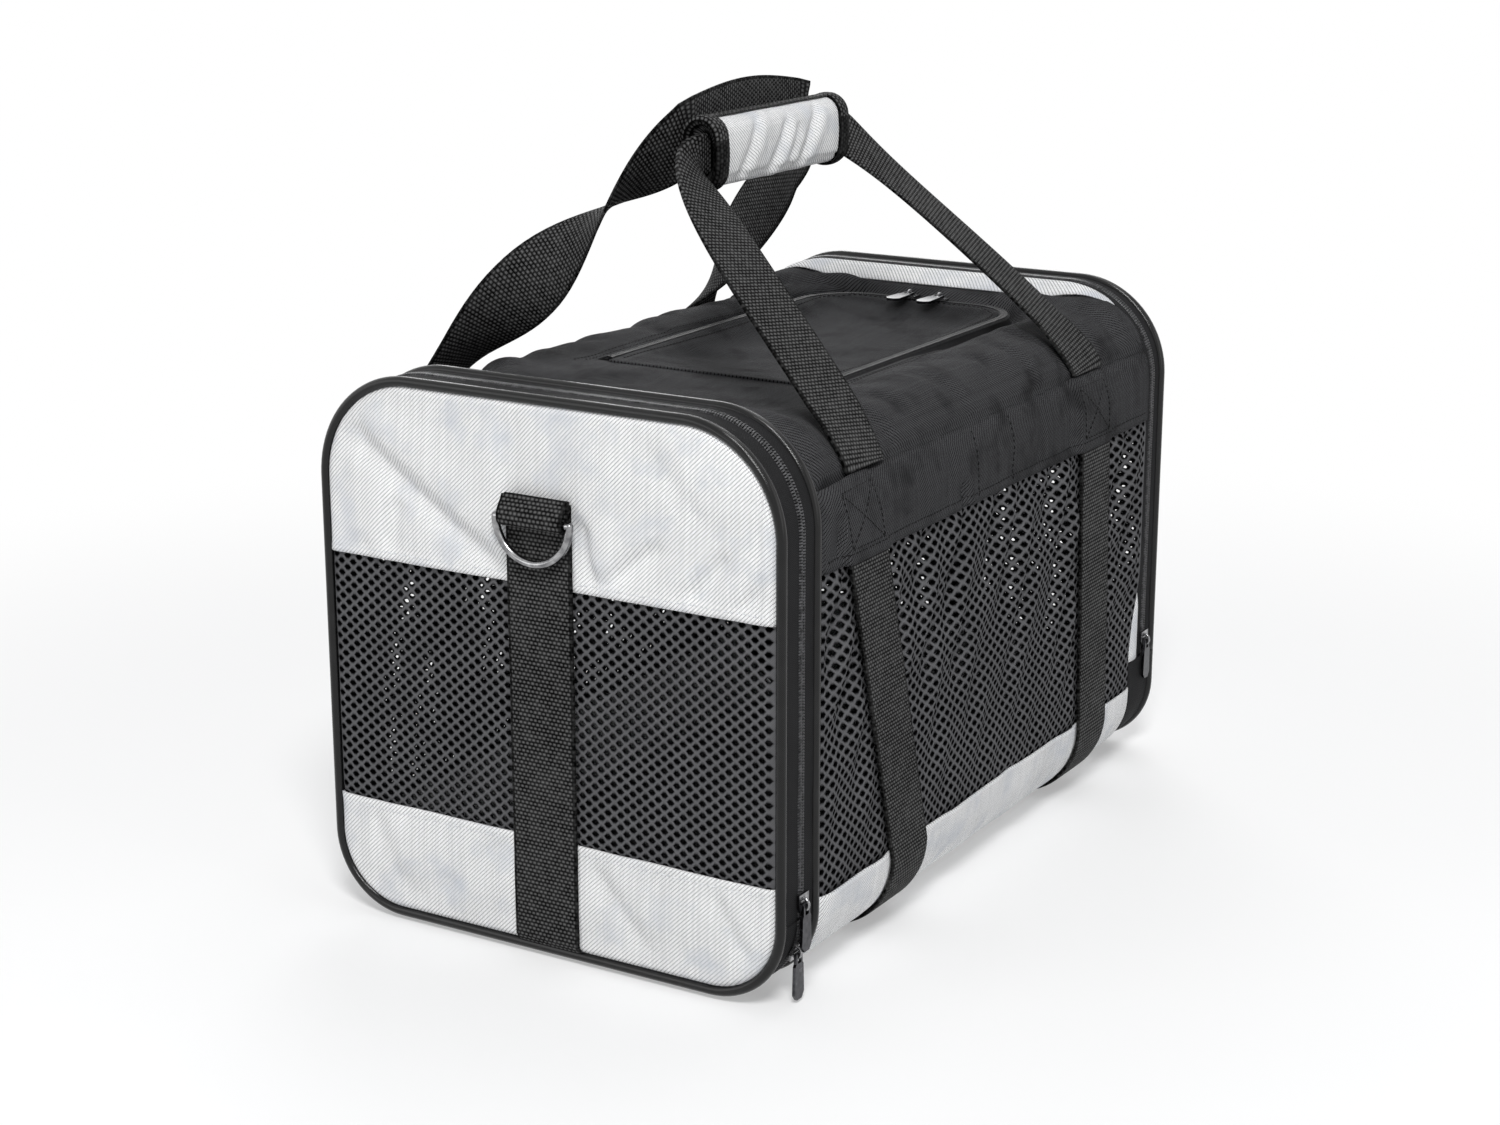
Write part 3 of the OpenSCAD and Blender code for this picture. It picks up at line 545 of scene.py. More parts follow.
piping = {  # node: y, height above, height below, body
    "front_door_piping": (-222.4, None, None, "front_door"),
    "front_body_piping": (-190.6, None, None, "shell"),
    "rear_door_piping": (222.4, 64.2, None, "rear_door"),
    "rear_lower_piping": (222.4, None, 63.8, "shell"),
}
for node, (y, above, below, body) in piping.items():
    tube = hoopTube(y, bag["piping"] + 0.1, hoopSpan(above, below))
    sewPiece(node + "_cover", tube, "pipingCover", body, [node])
print("piping:", len(piping))

zipTapes = {  # node: y from, y to, inset, above, below, crown, body
    "front_door_tape": (-220.4, -205.2, 2.2, 44.4, None, 0.5, "front_door"),
    "front_body_tape": (-204.8, -192.2, 2.2, None, None, 0.4, "shell"),
    "front_hinge_tape": (-219.7, -205.2, 2.2, None, 44.0, 0.4, "shell"),
    "rear_body_tape": (200.7, 208.8, 2.2, 64.2, None, 0.3, "shell"),
    "rear_door_tape": (209.2, 220.2, 2.2, 64.2, None, 0.4, "rear_door"),
    "rear_lower_binding": (189.4, 220.2, 1.9, None, 63.8, 0.8, "shell"),
}
for node, (yFrom, yTo, inset, above, below, crown, body) in zipTapes.items():
    strip = hoopStrip(yFrom, yTo, inset, hoopSpan(above, below), 8,
                      lambda t, s: crown * np.sin(np.pi * t) + 0.15 * crinkle(s, t * 10, 23.0, 3))
    sewPiece(node + "_strip", strip, "zipTape", body, [node], thick=0.9)

gusset = {
    "from": 189.3, "to": 200.7, "inset": 1.6, "crown": 0.9, "above": 64.2, "dip": 8.0, "under": 2.0,
    "bend": 53.6, "slack": 0.94, "sunk": (112.0, 44.0),  # sunk: half width, ease
}
lap = {  # cloth carried over the gusset; each ramp has its start and the distance that it takes
    "reach": 9.6, "side": (66.0, 58.0), "top": (80.0, 44.0), "rear": (148.0, 42.0),
}


def sideLap(z):  # 1 where the side's rear edge lies over the gusset
    return ramp(z, *lap["side"])


def topLap(run):  # the same for the top, by the run from its middle
    return ramp(np.abs(run), *lap["top"])


def lapRun(y, share):  # how far the cloth is carried to the rear
    return lap["reach"] * share * ramp(y, *lap["rear"])


def gussetCover(s):
    x, z, nx = onHoop(s)[:3]
    flat, high = bag["topCentre"]
    run = (np.minimum(np.abs(x), flat) + gusset["bend"] * np.arcsin(np.abs(nx))) * gusset["slack"]
    return np.where(z > high, topLap(run), sideLap(z))


def gussetFrom(s):
    return gusset["from"] + (lap["reach"] - 0.8) * gussetCover(s)


def gussetLift(t, s):  # its front edge sinks with the top panel between the corners
    x, nz = onHoop(s)[::3]
    reach, ease = gusset["sunk"]
    sunk = smooth((reach - np.abs(x)) / ease) * smooth((nz - 0.6) / 0.3)
    crown = gusset["crown"] * np.sin(np.pi * t) * (0.5 + 0.8 * crinkle(s, t * 12, 26.0, 5))
    return crown - gusset["dip"] * sunk * (1 - t) ** 1.3 - gusset["under"] * smooth(2 * gussetCover(s) - 1)


strip = hoopStrip(gussetFrom, gusset["to"], gusset["inset"], hoopSpan(gusset["above"]), 12, gussetLift)
sewPiece("rear_gusset_cloth", strip, "greyOxford", "shell", ["rear_gusset"], thick=0.9, restsOn=[])
print("tapes:", len(zipTapes), "and the grey gusset")

coil = {  # one tooth of the zip's coil: across, up and lean of its middle line, then half sizes
    "pitch": 1.5, "line": [(3.0, 0.1, 0.0), (2.3, 1.05, 0.05), (0.9, 1.3, 0.12), (-0.4, 0.75, 0.2)],
    "halfAlong": 0.42, "halfThick": 0.32, "first": (1.0, 0.25),  # where each half's first tooth stands
}


def coilTeeth(spots, tangents, across, ups):
    line = np.array(coil["line"])
    way = unit(np.gradient(line[:, :2], axis=0))
    rings = []
    for (a, u, lean), (wa, wu) in zip(line, way):
        for along, thick in ((-1, -1), (1, -1), (1, 1), (-1, 1)):
            off = thick * coil["halfThick"]
            rings.append((a - wu * off, u - wa * off, lean + along * coil["halfAlong"]))
    faces = [[4 * k + a, 4 * k + b, 4 * k + 4 + b, 4 * k + 4 + a] for k in range(3) for a, b in ringEdges]
    faces += [[3, 2, 1, 0], [12, 13, 14, 15]]
    if np.dot(np.cross(across[0], tangents[0]), ups[0]) > 0:
        faces = [face[::-1] for face in faces]
    return repeatShape(spots, np.array(rings), (across, ups, tangents), faces)


def toothPlaces(side, start, end):
    return np.arange(start + coil["first"][side > 0] * coil["pitch"], end, coil["pitch"])


def hoopTeeth(centre, side, start, end):
    x, z, nx, nz = onHoop(toothPlaces(side, start, end))
    return coilTeeth(stack(x, centre, z), stack(-nz, 0, nx), stack(0 * x, side, 0), stack(nx, 0, nz))


frontZip, rearZip = -205.0, 209.0
frontLow, frontRise = bag["footCentre"][0] + 1.0, hoopReach(44.2)
rearRise = hoopReach(64.4)
total = midHoop["total"]
zipTeeth = {  # chain: runs of centre y, side, start, end; body
    "front_door": ([(frontZip, -1, frontRise + 0.4, total - frontRise - 0.4)], "front_door"),
    "front_body": ([(frontZip, 1, frontLow, total - frontLow), (frontZip, -1, frontLow, frontRise - 0.8),
                    (frontZip, -1, total - frontRise + 0.8, total - frontLow)], "shell"),
    "rear_body": ([(rearZip, -1, rearRise, total - rearRise)], "shell"),
    "rear_door": ([(rearZip, 1, rearRise, total - rearRise)], "rear_door"),
}
for word, (runs, body) in zipTeeth.items():
    teeth = joinParts(*[hoopTeeth(*run) for run in runs])
    sewPiece(word + "_teeth", teeth, "zipCoil", body, [word + "_chain"], sharp=40)
print("zip teeth on both ends")

# stitching: short dashes of thread, gathered for each body and thread
stitches = {}
thread = {"pitch": 3.3, "long": 2.3, "round": 0.3, "full": 0.55, "lift": 0.12, "sunk": -0.15}


def stitchRun(body, points, normals, colour="blackThread"):
    points, normals = np.asarray(points, float), np.asarray(normals, float) + np.zeros((len(points), 3))
    s = runAlong(points)
    at = np.arange(thread["pitch"] / 2, s[-1], thread["pitch"])
    way = pick(np.minimum(at + 1, s[-1]), s, points) - pick(np.maximum(at - 1, 0), s, points)
    stitches.setdefault((body, colour), []).append((pick(at, s, points), way, pick(at, s, normals)))


def sewStitches():
    half, r = thread["long"] / 2, thread["round"]
    shape = [(-half, 0, thread["sunk"])]
    for along in (-half * thread["full"], half * thread["full"]):
        shape += [(along, a * r, thread["lift"] + b * r) for a, b in ((1, 0), (0, 1), (-1, 0), (0, -1))]
    shape.append((half, 0, thread["sunk"]))
    faces = [[0, 1 + b, 1 + a] for a, b in ringEdges] + [[9, 5 + a, 5 + b] for a, b in ringEdges]
    faces += [[1 + a, 1 + b, 5 + b, 5 + a] for a, b in ringEdges]
    for (body, colour), runs in stitches.items():
        spot, way, up = [np.concatenate([run[k] for run in runs]) for k in range(3)]
        way = unit(way)
        side = unit(np.cross(way, up))
        part = repeatShape(spot, np.array(shape), (way, side, np.cross(side, way)), faces)
        sewPiece(body + "_" + colour + "_stitches", part, colour, body)


# doors
def arcReach(z, centre, r):  # x of a round corner at a height
    return centre[0] + np.sqrt(np.maximum(r ** 2 - (z - centre[1]) ** 2, 0))


def hoopHalf(z, inset):
    high, low = bag["topCentre"], bag["footCentre"]
    half = np.full_like(np.asarray(z, float), bag["half"] - inset)
    half = np.where(z > high[1], arcReach(z, high, bag["topBend"] - inset), half)
    return np.where(z < low[1], arcReach(z, low, bag["footBend"] - inset), half)


def rowLevels(low, high, inset, step):  # rows close up where the outline bends over
    tz, fz = bag["topCentre"][1], bag["footCentre"][1]
    levels = list(np.arange(max(low, fz), min(high, tz) + 0.01, step)) if low < tz and high > fz else []
    for centre, r, way in ((tz, bag["topBend"] - inset, 1), (fz, bag["footBend"] - inset, -1)):
        reach = (high - centre) if way > 0 else (centre - low)
        if reach > 0:
            a = np.linspace(0, math.asin(min(1.0, reach / r)), 26)
            levels += list(centre + way * r * np.sin(a))
    return np.unique(np.round(np.clip(levels + [low, high], low, high), 4))


def boxOut(u, v, half, tall, r):  # how far outside a box with round corners a point is
    qu, qv = np.abs(u) - half + r, np.abs(v) - tall + r
    return np.minimum(np.maximum(qu, qv), 0) + np.hypot(np.maximum(qu, 0), np.maximum(qv, 0)) - r


def edgeIn(x, z):  # how far inside the hoop's outline a point is
    mid, tall = (bag["hoopTop"] + bag["foot"]) / 2, (bag["hoopTop"] - bag["foot"]) / 2
    r = np.where(z > mid, bag["topBend"], bag["footBend"])
    return -boxOut(x, z - mid, bag["half"], tall, r)


doors = {"front": (-1, bag["frontFace"]), "rear": (1, bag["rearFace"])}  # outward way along y, flat face


doorCloth = {
    "inset": 4.3, "tuck": 2.3, "step": 2.6, "cols": 104, "thick": 1.3, "puff": 1.9,
    "seeds": {"front": 1, "rear": 2},  # next come ramps by the way in from the outline
    "tuckEdge": (8.2, -4.0), "freeEdge": (8.2, -5.0), "puffEdge": (4.0, 30.0), "foldEdge": (5.0, 12.0),
    "strap": 21.0, "upper": 88.0, "lower": (7.0, 57.0), "most": 3.6,
    "soft": [(0.5, 34.0, 0), (0.25, 13.0, 4)],
    "stitch": {"upper": 199.5, "lower": 60.5}, "stitchRuns": [(-127, -21), (21, 127)],  # heights, from and to
    "front": [  # folds in x, z: start, end, half width, depth
        (-118, 262, -22, 199, 7.0, 6.0), (-14, 288, -19, 240, 7.0, 4.0), (24, 232, 30, 196, 5.0, 4.0),
        (34, 200, 70, 226, 5.5, 4.0), (84, 200, 106, 226, 5.5, 3.4), (110, 196, 131, 219, 4.5, 2.8),
        (-94, 200, -86, 228, 6.0, 3.4), (-24, 60, -66, 22, 6.0, 2.4), (-110, 62, -92, 20, 6.0, 1.9),
        (26, 56, 60, 18, 6.0, 2.2), (96, 58, 116, 26, 5.0, 1.9), (60, 270, 96, 236, 8.0, 1.8),
    ],
    "rear": [
        (-108, 262, -22, 204, 7.0, 2.2), (24, 214, 70, 250, 6.0, 1.8), (88, 200, 112, 232, 5.5, 1.4),
        (-60, 200, -44, 232, 5.0, 1.2), (30, 56, 70, 20, 7.0, 1.4), (-30, 54, -64, 24, 7.0, 1.3),
    ],
}


def strapMask(x):  # 1 behind the centre strap
    return bell(x, doorCloth["strap"], 8)


def doorTuck(x, z):  # the cloth runs in under the piping
    return doorCloth["tuck"] * ramp(edgeIn(x, z), *doorCloth["tuckEdge"])


def doorOut(x, z, which):  # how far a door's cloth stands out of its flat face
    edge = edgeIn(x, z)
    upper = z > (bag["windowTop"] + bag["windowLow"]) / 2
    low, tall = doorCloth["lower"]
    band = np.where(upper, (z - bag["windowTop"]) / doorCloth["upper"], (z - low) / tall)
    out = doorCloth["puff"] * np.sin(np.pi * np.clip(band, 0, 1)) * ramp(edge, *doorCloth["puffEdge"])
    hem = np.where(upper, z - bag["windowTop"], bag["windowLow"] - z)
    folds = -creases(x, z, doorCloth[which]) * (0.2 + 0.8 * smooth(hem / 10))
    soft = rumple(x, z, doorCloth["soft"], doorCloth["seeds"][which])
    out = out + (folds + soft) * ramp(edge, *doorCloth["foldEdge"])
    out = out * (1 - 0.85 * strapMask(x)) - 0.4 * strapMask(x)
    return doorCloth["most"] * np.tanh(out / doorCloth["most"])


def doorPanel(which, low, high):
    sign, face = doors[which]
    z = rowLevels(low, high, doorCloth["inset"], doorCloth["step"])[:, None]
    t = np.linspace(-1, 1, doorCloth["cols"] + 1)[None, :] * -sign
    x = t * hoopHalf(z, doorCloth["inset"])
    z = z + 0 * x
    hem = sum(0.5 * bell(z - bag[edge], 3.5) for edge in ("windowTop", "windowLow"))
    free = 1 - ramp(edgeIn(x, z), *doorCloth["freeEdge"])
    y = face + sign * (doorOut(x, z, which) * free + hem - doorTuck(x, z))
    return gridPart(stack(x, y, z), stack(x, z))


net = {  # a cell is a flat six-sided knot round an oval hole
    "pitch": 7.3, "row": 3.1, "hole": (1.82, 0.9, 1.02), "rim": 0.6, "least": 0.1,
    "lapDrop": 0.9, "frontThick": 1.1, "rearThick": 1.7, "sideThick": 1.75,
    "soft": [(0.9, 46.0, 0), (0.45, 19.0, 0)], "seeds": {"front": 6, "rear": 7}, "doorEdge": (131.0, -14.0),
    "lap": 4.0, "back": 0.9, "strapBack": 0.3,  # back: how far it lies behind the cloth round it
}


def knitNet(left, right, low, high, place, flip):
    half, row, rim = net["pitch"] / 2, net["row"], net["rim"]
    middle = (half ** 2 + row ** 2) / 2
    tip, flank = middle / half, (middle - row ** 2) / half
    wide, waist, tall = net["hole"]
    cell = [(tip, 0), (flank, row), (-flank, row), (-tip, 0), (-flank, -row), (flank, -row)]
    hole = [(wide, 0), (waist, tall), (-waist, tall), (-wide, 0), (-waist, -tall), (waist, -tall)]
    found, flat, faces, eyes = {}, [], [], set()

    def knot(a, b):
        key = (round(a, 3), round(b, 3))
        if key not in found:
            found[key] = len(flat)
            flat.append((a, b))
        return found[key]

    for r in range(-1, int((high - low) / row) + 2):
        for c in range(-1, int((right - left) / net["pitch"]) + 2):
            a, b = left + (c + 0.5 * (r % 2)) * net["pitch"], low + r * row
            ring = [knot(min(max(a + p, left), right), min(max(b + q, low), high)) for p, q in cell]
            wideFits = left + rim < a - wide and a + wide < right - rim
            tallFits = low + rim < b - tall and b + tall < high - rim
            if wideFits and tallFits:
                eye = [knot(a + p, b + q) for p, q in hole]
                eyes.update(eye)
                faces += [[ring[k], ring[(k + 1) % 6], eye[(k + 1) % 6], eye[k]] for k in range(6)]
            else:
                ring = [k for n, k in enumerate(ring) if k != ring[n - 1]]
                if len(set(ring)) == len(ring) > 2 and flatArea([flat[k] for k in ring]) > net["least"]:
                    faces.append(ring)
    good = [face for face in faces if len(set(face)) == len(face)]
    flat = np.array(flat)
    corners = np.concatenate([flat[face] for face in good])
    part = place(flat[:, 0], flat[:, 1]), good, corners
    return (turnOver(part) if flip else part), [float(k in eyes) for k in range(len(flat))]


def windowLap(z, low, high):  # 1 where a net runs behind the cloth above and below it
    return np.maximum(ramp(z, high - net["lap"], net["lap"]), ramp(z, low + net["lap"], -net["lap"]))


def doorNet(which):
    sign, face = doors[which]
    half = bag["half"] - doorCloth["inset"]

    def place(x, z):
        slack = rumple(x, z, net["soft"], net["seeds"][which]) * ramp(np.abs(x), *net["doorEdge"])
        strap = strapMask(x)
        behind = windowLap(z, bag["windowLow"], bag["windowTop"])
        back = net["back"] + net["strapBack"] * strap + net["lapDrop"] * behind
        out = slack * (1 - strap) * (1 - behind) - back - doorTuck(x, z)
        return stack(x, face + sign * out, z)

    return knitNet(-half, half, bag["windowLow"] - 3.5, bag["windowTop"] + 3.5, place, which == "rear")


doorPanels = {  # panel: door, low, high, body
    "front_upper": ("front", 195.6, 285.9, "front_door"),
    "front_lower": ("front", 6.5, 64.6, "front_door"),
    "rear_upper": ("rear", 195.6, 285.9, "rear_door"),
    "rear_lower": ("rear", 6.5, 63.8, "shell"),
}
for word, (which, low, high, body) in doorPanels.items():
    sewPiece(word + "_cloth", doorPanel(which, low, high), "greyOxford", body, [word + "_panel"],
             thick=doorCloth["thick"], restsOn=[which + "_door_piping_cover"])
for which, (sign, face) in doors.items():
    body = which + "_door"
    part, eyes = doorNet(which)
    sewPiece(which + "_net_cloth", part, "netYarn", body, [which + "_net"], thick=net[which + "Thick"],
             eyes=eyes, restsOn=[which + "_door_piping_cover"])
    for row, level in doorCloth["stitch"].items():
        for start, end in doorCloth["stitchRuns"]:
            x = np.linspace(start, end, 60)
            y = face + sign * (doorOut(x, level + 0 * x, which) + 0.2)
            owner = doorPanels[which + "_" + row][3]
            stitchRun(owner, stack(x, y, level), (0, sign, 0), "greyThread")
print("doors: panels and nets")


# webbing
webbing = {
    "width": 38.0, "thick": 2.0, "off": 1.15, "ripple": [(0.25, 27.0, 9)], "edge": 0.55,
    "foot": (3.6, 11.0, -7.0), "beltOff": 1.2, "beltRipple": [(0.35, 31.0, 11)],  # foot: drop, then a ramp
}


def strapPart(centres, sides, outs, width=webbing["width"], thick=webbing["thick"]):
    none = np.zeros((len(centres), 3))  # one direction or size may stand for the whole strap
    sides, outs = none + sides, none + outs
    widths, thicks = none[:, :1] + np.reshape(width, (-1, 1)), none[:, :1] + np.reshape(thick, (-1, 1))
    across = np.linspace(-1, 1, 17)
    worn = np.where(np.abs(across) > 0.99, webbing["edge"], 1.0)
    u = np.concatenate([across, across[::-1]]) * widths / 2
    v = np.concatenate([worn, -worn[::-1]]) * thicks / 2
    points = centres[:, None] + u[..., None] * sides[:, None] + v[..., None] * outs[:, None]
    maps = stack(np.concatenate([u, u[:, :1]], 1), runAlong(centres)[:, None])
    points, faces, corners = gridPart(points, maps)
    count = u.shape[1]
    last = len(points) - count
    caps = [[k, k + 1, count - 2 - k, count - 1 - k] for k in range(count // 2 - 1)]
    caps += [[last + k for k in cap[::-1]] for cap in caps]
    part = points, faces + caps, np.concatenate([corners, np.zeros((4 * len(caps), 2))])
    hand = np.dot(np.cross(sides[0], centres[1] - centres[0]), outs[0])
    return part if hand > 0 else turnOver(part)


def doorStrap(which, low, high):
    sign, face = doors[which]
    z = np.arange(low, high + 0.01, 3.0)
    drop, *foot = webbing["foot"]
    out = webbing["off"] + rumple(z, 0 * z, webbing["ripple"]) - drop * ramp(z, *foot)
    return strapPart(stack(0, face + sign * out, z), (1, 0, 0), (0, sign, 0))


doorStraps = {  # node: door, low, high, body
    "front_strap": ("front", 5.0, 240.0, "front_door"),
    "rear_strap": ("rear", 64.4, 240.0, "rear_door"),
    "rear_lower_strap": ("rear", 5.0, 63.6, "shell"),
}
for node, (which, low, high, body) in doorStraps.items():
    sewPiece(node + "_webbing", doorStrap(which, low, high), "webbing", body, [node], sharp=50)

ringLoop = {  # the webbing folded round a strap ring's bar: out of the bar, up from it
    "bar": (231.5, 230.0), "width": 37.6, "thick": 1.9, "seamHalf": 17.0,
    "line": [(3.9, 11.0), (3.75, 6.0), (3.3, 2.0), (2.6, -1.8), (0.9, -3.15), (-1.2, -2.95), (-2.75, -1.6),
             (-3.15, 0.8), (-2.7, 3.4), (-1.0, 6.2), (0.8, 8.8), (1.85, 11.0)],
    "seams": [(236.8, 231.24), (239.4, 230.07)],  # height and distance from the bag's middle
}


def softLine(points, count):  # a smooth line through points
    points = np.asarray(points, float)
    s = runAlong(points)
    slope = np.gradient(points, s, axis=0)
    at = np.linspace(0, s[-1], count)
    k = np.clip(np.searchsorted(s, at) - 1, 0, len(s) - 2)
    h = (s[k + 1] - s[k])[:, None]
    t = (at - s[k])[:, None] / h
    return ((2 * t ** 3 - 3 * t ** 2 + 1) * points[k] + (t ** 3 - 2 * t ** 2 + t) * h * slope[k]
            + (3 * t ** 2 - 2 * t ** 3) * points[k + 1] + (t ** 3 - t ** 2) * h * slope[k + 1])


line = softLine(ringLoop["line"], 44)
way = unit(np.gradient(line, axis=0))
for which in doors:
    sign, body = doors[which][0], which + "_door"
    y, z = sign * (ringLoop["bar"][0] - line[:, 0]), ringLoop["bar"][1] + line[:, 1]
    outs = stack(0, sign * way[:, 1], way[:, 0])
    part = strapPart(stack(0, y, z), (1, 0, 0), outs, ringLoop["width"], ringLoop["thick"])
    sewPiece(which + "_ring_loop_webbing", part, "webbing", body, [which + "_ring_loop"], sharp=50)
    for level, reach in ringLoop["seams"]:
        x = np.linspace(-ringLoop["seamHalf"], ringLoop["seamHalf"], 12)
        stitchRun(body, stack(x, sign * reach, level), (0, sign, 0))

belts = {  # node: y at the band, y at the foot
    "front_belt": (-145.8, -97.8), "rear_belt": (121.7, 129.7),
}


def beltMiddle(z, node):  # the belt's middle along the bag at a height
    top, foot = belts[node]
    rise = (np.asarray(z) - bag["footCentre"][1]) / (bag["bandFoot"] - bag["footCentre"][1])
    return foot + (top - foot) * np.clip(rise, 0, 1.3)


def beltPart(node):  # places and outward ways down the right side and under to the middle, then the left
    (fx, fz), off, foot = bag["footCentre"], webbing["beltOff"], belts[node][1]
    r = bag["footBend"] + off
    z = np.arange(bag["bandFoot"] + 3.0, fz, -4.0)
    x = bag["half"] + off + rumple(z, 0 * z, webbing["beltRipple"]) * ramp(z, fz, 20)
    a = np.radians(np.linspace(0, -90, 18))
    side = stack(x, beltMiddle(z, node), z, 1, 0, 0)
    bend = stack(fx + r * np.cos(a), foot, fz + r * np.sin(a), np.cos(a), 0, np.sin(a))
    under = stack(np.linspace(fx - 6, 0, 14), foot, fz - r, 0, 0, -1)
    right = np.concatenate([side, bend, under])
    left = right[-2::-1] * (-1, 1, 1, -1, 1, 1)
    line, outs = np.split(np.concatenate([right, left]), 2, axis=1)
    return strapPart(line, (0, 1, 0), outs)


for node in belts:
    sewPiece(node + "_webbing", beltPart(node), "webbing", "shell", [node], sharp=50)
print("webbing: straps, loops and belts")

# sides
sides = {  # what a side's cloths share
    "cols": 95, "thick": 1.2, "hoopPull": (48.0, 30.0), "roots": (-137.8, 123.7),
    "tucks": [(2.6, 4.0, -6.0), (1.8, -3.0, 4.0)],  # front and rear: depth, then a ramp from the seam
}


def endPull(y, frontReach, rearReach):  # 1 at the end hoops, 0 where the cloth hangs free
    front = smooth(1 - (y - bag["frontSeam"]) / frontReach)
    return np.maximum(front, smooth(1 - (bag["rearSeam"] - y) / rearReach))


def rearRun(y, z):  # how far the side's cloth is carried to the rear
    return lapRun(y, sideLap(z))


def endTuck(y, z):  # the cloth runs into the piping at both ends
    (front, *frontRamp), (rear, *rearRamp) = sides["tucks"]
    rearTuck = rear * ramp(y - bag["rearSeam"], *rearRamp) * (1 - sideLap(z))
    return front * ramp(y - bag["frontSeam"], *frontRamp) + rearTuck


def beltMask(y, z, spread=5.0):
    gap = np.minimum(*[np.abs(y - beltMiddle(z, node)) for node in belts])
    return smooth((webbing["width"] / 2 + spread - gap) / spread)


def sideWall(y, z):  # x of the right side before its folds
    shoulder, high = bag["shoulder"], bag["topCentre"]
    loose = np.where(z > shoulder[1], arcReach(z, shoulder, bag["shoulderBend"]), bag["half"])
    tight = np.where(z > high[1], arcReach(z, high, bag["topBend"]), bag["half"])
    pull = endPull(y, *sides["hoopPull"])
    return loose + (tight - loose) * pull - endTuck(y, z)


sideBand = {
    "seeds": {1: 21, -1: 22}, "soft": [(0.7, 30.0, 0), (0.3, 11.0, 0)], "ends": (8.0, 8.0), "overBelt": 2.5,
    "hem": (0.7, 2.0, 3.0), "seam": (1.6, 2.2),  # height, above the foot, width; depth, width
    "hemStitch": (-184.0, 186.0, 217.0), "lines": (-24.5, 17.5), "lineRise": (214.0, 249.0),
    "box": (219.0, 248.0), "boxHalf": 16.0,  # stitched over each belt's upper end
    "folds": [  # in y, z: start, end, half width, depth
        (-96, 250, -84, 216, 6.0, 1.1), (-62, 216, -52, 244, 5.0, 1.2), (48, 216, 60, 246, 6.0, 1.1),
        (84, 248, 92, 214, 5.0, 1.2), (160, 250, 168, 216, 6.0, 1.0), (-176, 214, -168, 248, 5.0, 1.0),
        (-40, 226, -37, 204, 3.0, 2.6),
    ],
}


def bandOut(y, z, side):
    out = rumple(y, z, sideBand["soft"], sideBand["seeds"][side]) - creases(y, z, sideBand["folds"])
    over = beltMask(y, z, 4.0)
    out = out * (1 - over) + sideBand["overBelt"] * over
    (hem, hemUp, hemWide), (seam, seamWide) = sideBand["hem"], sideBand["seam"]
    out = out + hem * bell(z - bag["bandFoot"] - hemUp, hemWide)
    return out * (1 - endPull(y, *sideBand["ends"])) - seam * bell(z - bag["seam"], seamWide)


sideMesh = {
    "seeds": {1: 31, -1: 33}, "soft": [(0.9, 40.0, 2)], "ends": (14.0, 14.0), "underBelt": 0.5,
    "gather": (60.0, 120.0), "top": (217.5, -14.0), "foot": (47.0, 14.0),  # ramps by height
    "folds": [  # height, spacing, lean, level where the lean starts, waver and its size
        (2.7, 37.0, 0.62, 205.0, 2.86, 90.0), (1.3, 21.0, 0.25, 0.0, 2.5, 70.0),
    ],
}


def netOut(y, z, side):
    seed, folds = sideMesh["seeds"][side], 0.0
    for own, (height, spacing, lean, level, waver, size) in enumerate(sideMesh["folds"]):
        phase = 2 * np.pi * (y - lean * (z - level)) / spacing
        folds = folds + height * np.sin(phase + waver * crinkle(y, z, size, seed + own))
    folds = folds * (0.25 + 0.75 * ramp(z, *sideMesh["gather"])) * ramp(z, *sideMesh["top"])
    out = (folds + rumple(y, z, sideMesh["soft"], seed)) * ramp(z, *sideMesh["foot"])
    out = out * (1 - endPull(y, *sideMesh["ends"]))
    over = beltMask(y, z)
    behind = windowLap(z, bag["lowerSeam"], bag["bandFoot"])
    back = net["back"] + sideMesh["underBelt"] * over + net["lapDrop"] * behind
    return out * (1 - over) * (1 - behind) - back


lowerBand = {
    "seeds": {1: 41, -1: 43}, "soft": [(0.7, 42.0, 0), (0.3, 15.0, 0)], "ends": (10.0, 10.0),
    "underBelt": 0.3, "hem": (0.5, 3.0), "foot": (4.0, 12.0), "tuckRise": (2.0, 30.0),  # hem: height, width
    "folds": [  # in y, z as the upper band's
        (-60, 46, -42, 14, 8.0, 1.2), (20, 48, 36, 16, 9.0, 1.1), (80, 47, 92, 18, 8.0, 1.1),
        (156, 46, 150, 16, 7.0, 1.3), (-150, 46, -140, 18, 8.0, 1.1),
    ],
}


def lowerOut(y, z, side):
    out = rumple(y, z, lowerBand["soft"], lowerBand["seeds"][side]) - creases(y, z, lowerBand["folds"])
    over = beltMask(y, z)
    hem, wide = lowerBand["hem"]
    out = (out * ramp(z, *lowerBand["foot"]) + hem * bell(z - bag["lowerSeam"], wide)) * (1 - over)
    return (out - lowerBand["underBelt"] * over) * (1 - endPull(y, *lowerBand["ends"]))


def sideCloth(side, levels, out, tuckRise=None):  # with a tuckRise the levels' own x is its outline
    y = np.linspace(bag["frontSeam"] - 1.6, bag["rearSeam"] + 0.6, sides["cols"])[None, :]
    run, x, z, nx, nz = [np.asarray(k, float)[:, None] for k in levels]
    base = x - endTuck(y, z) * ramp(z, *tuckRise) if tuckRise else sideWall(y, z)
    off = out(y, z, side)
    rear = y + rearRun(y, z)
    points = stack(side * (base + off * nx), rear, z + off * nz)
    return gridPart(points, stack(rear, run), side < 0)


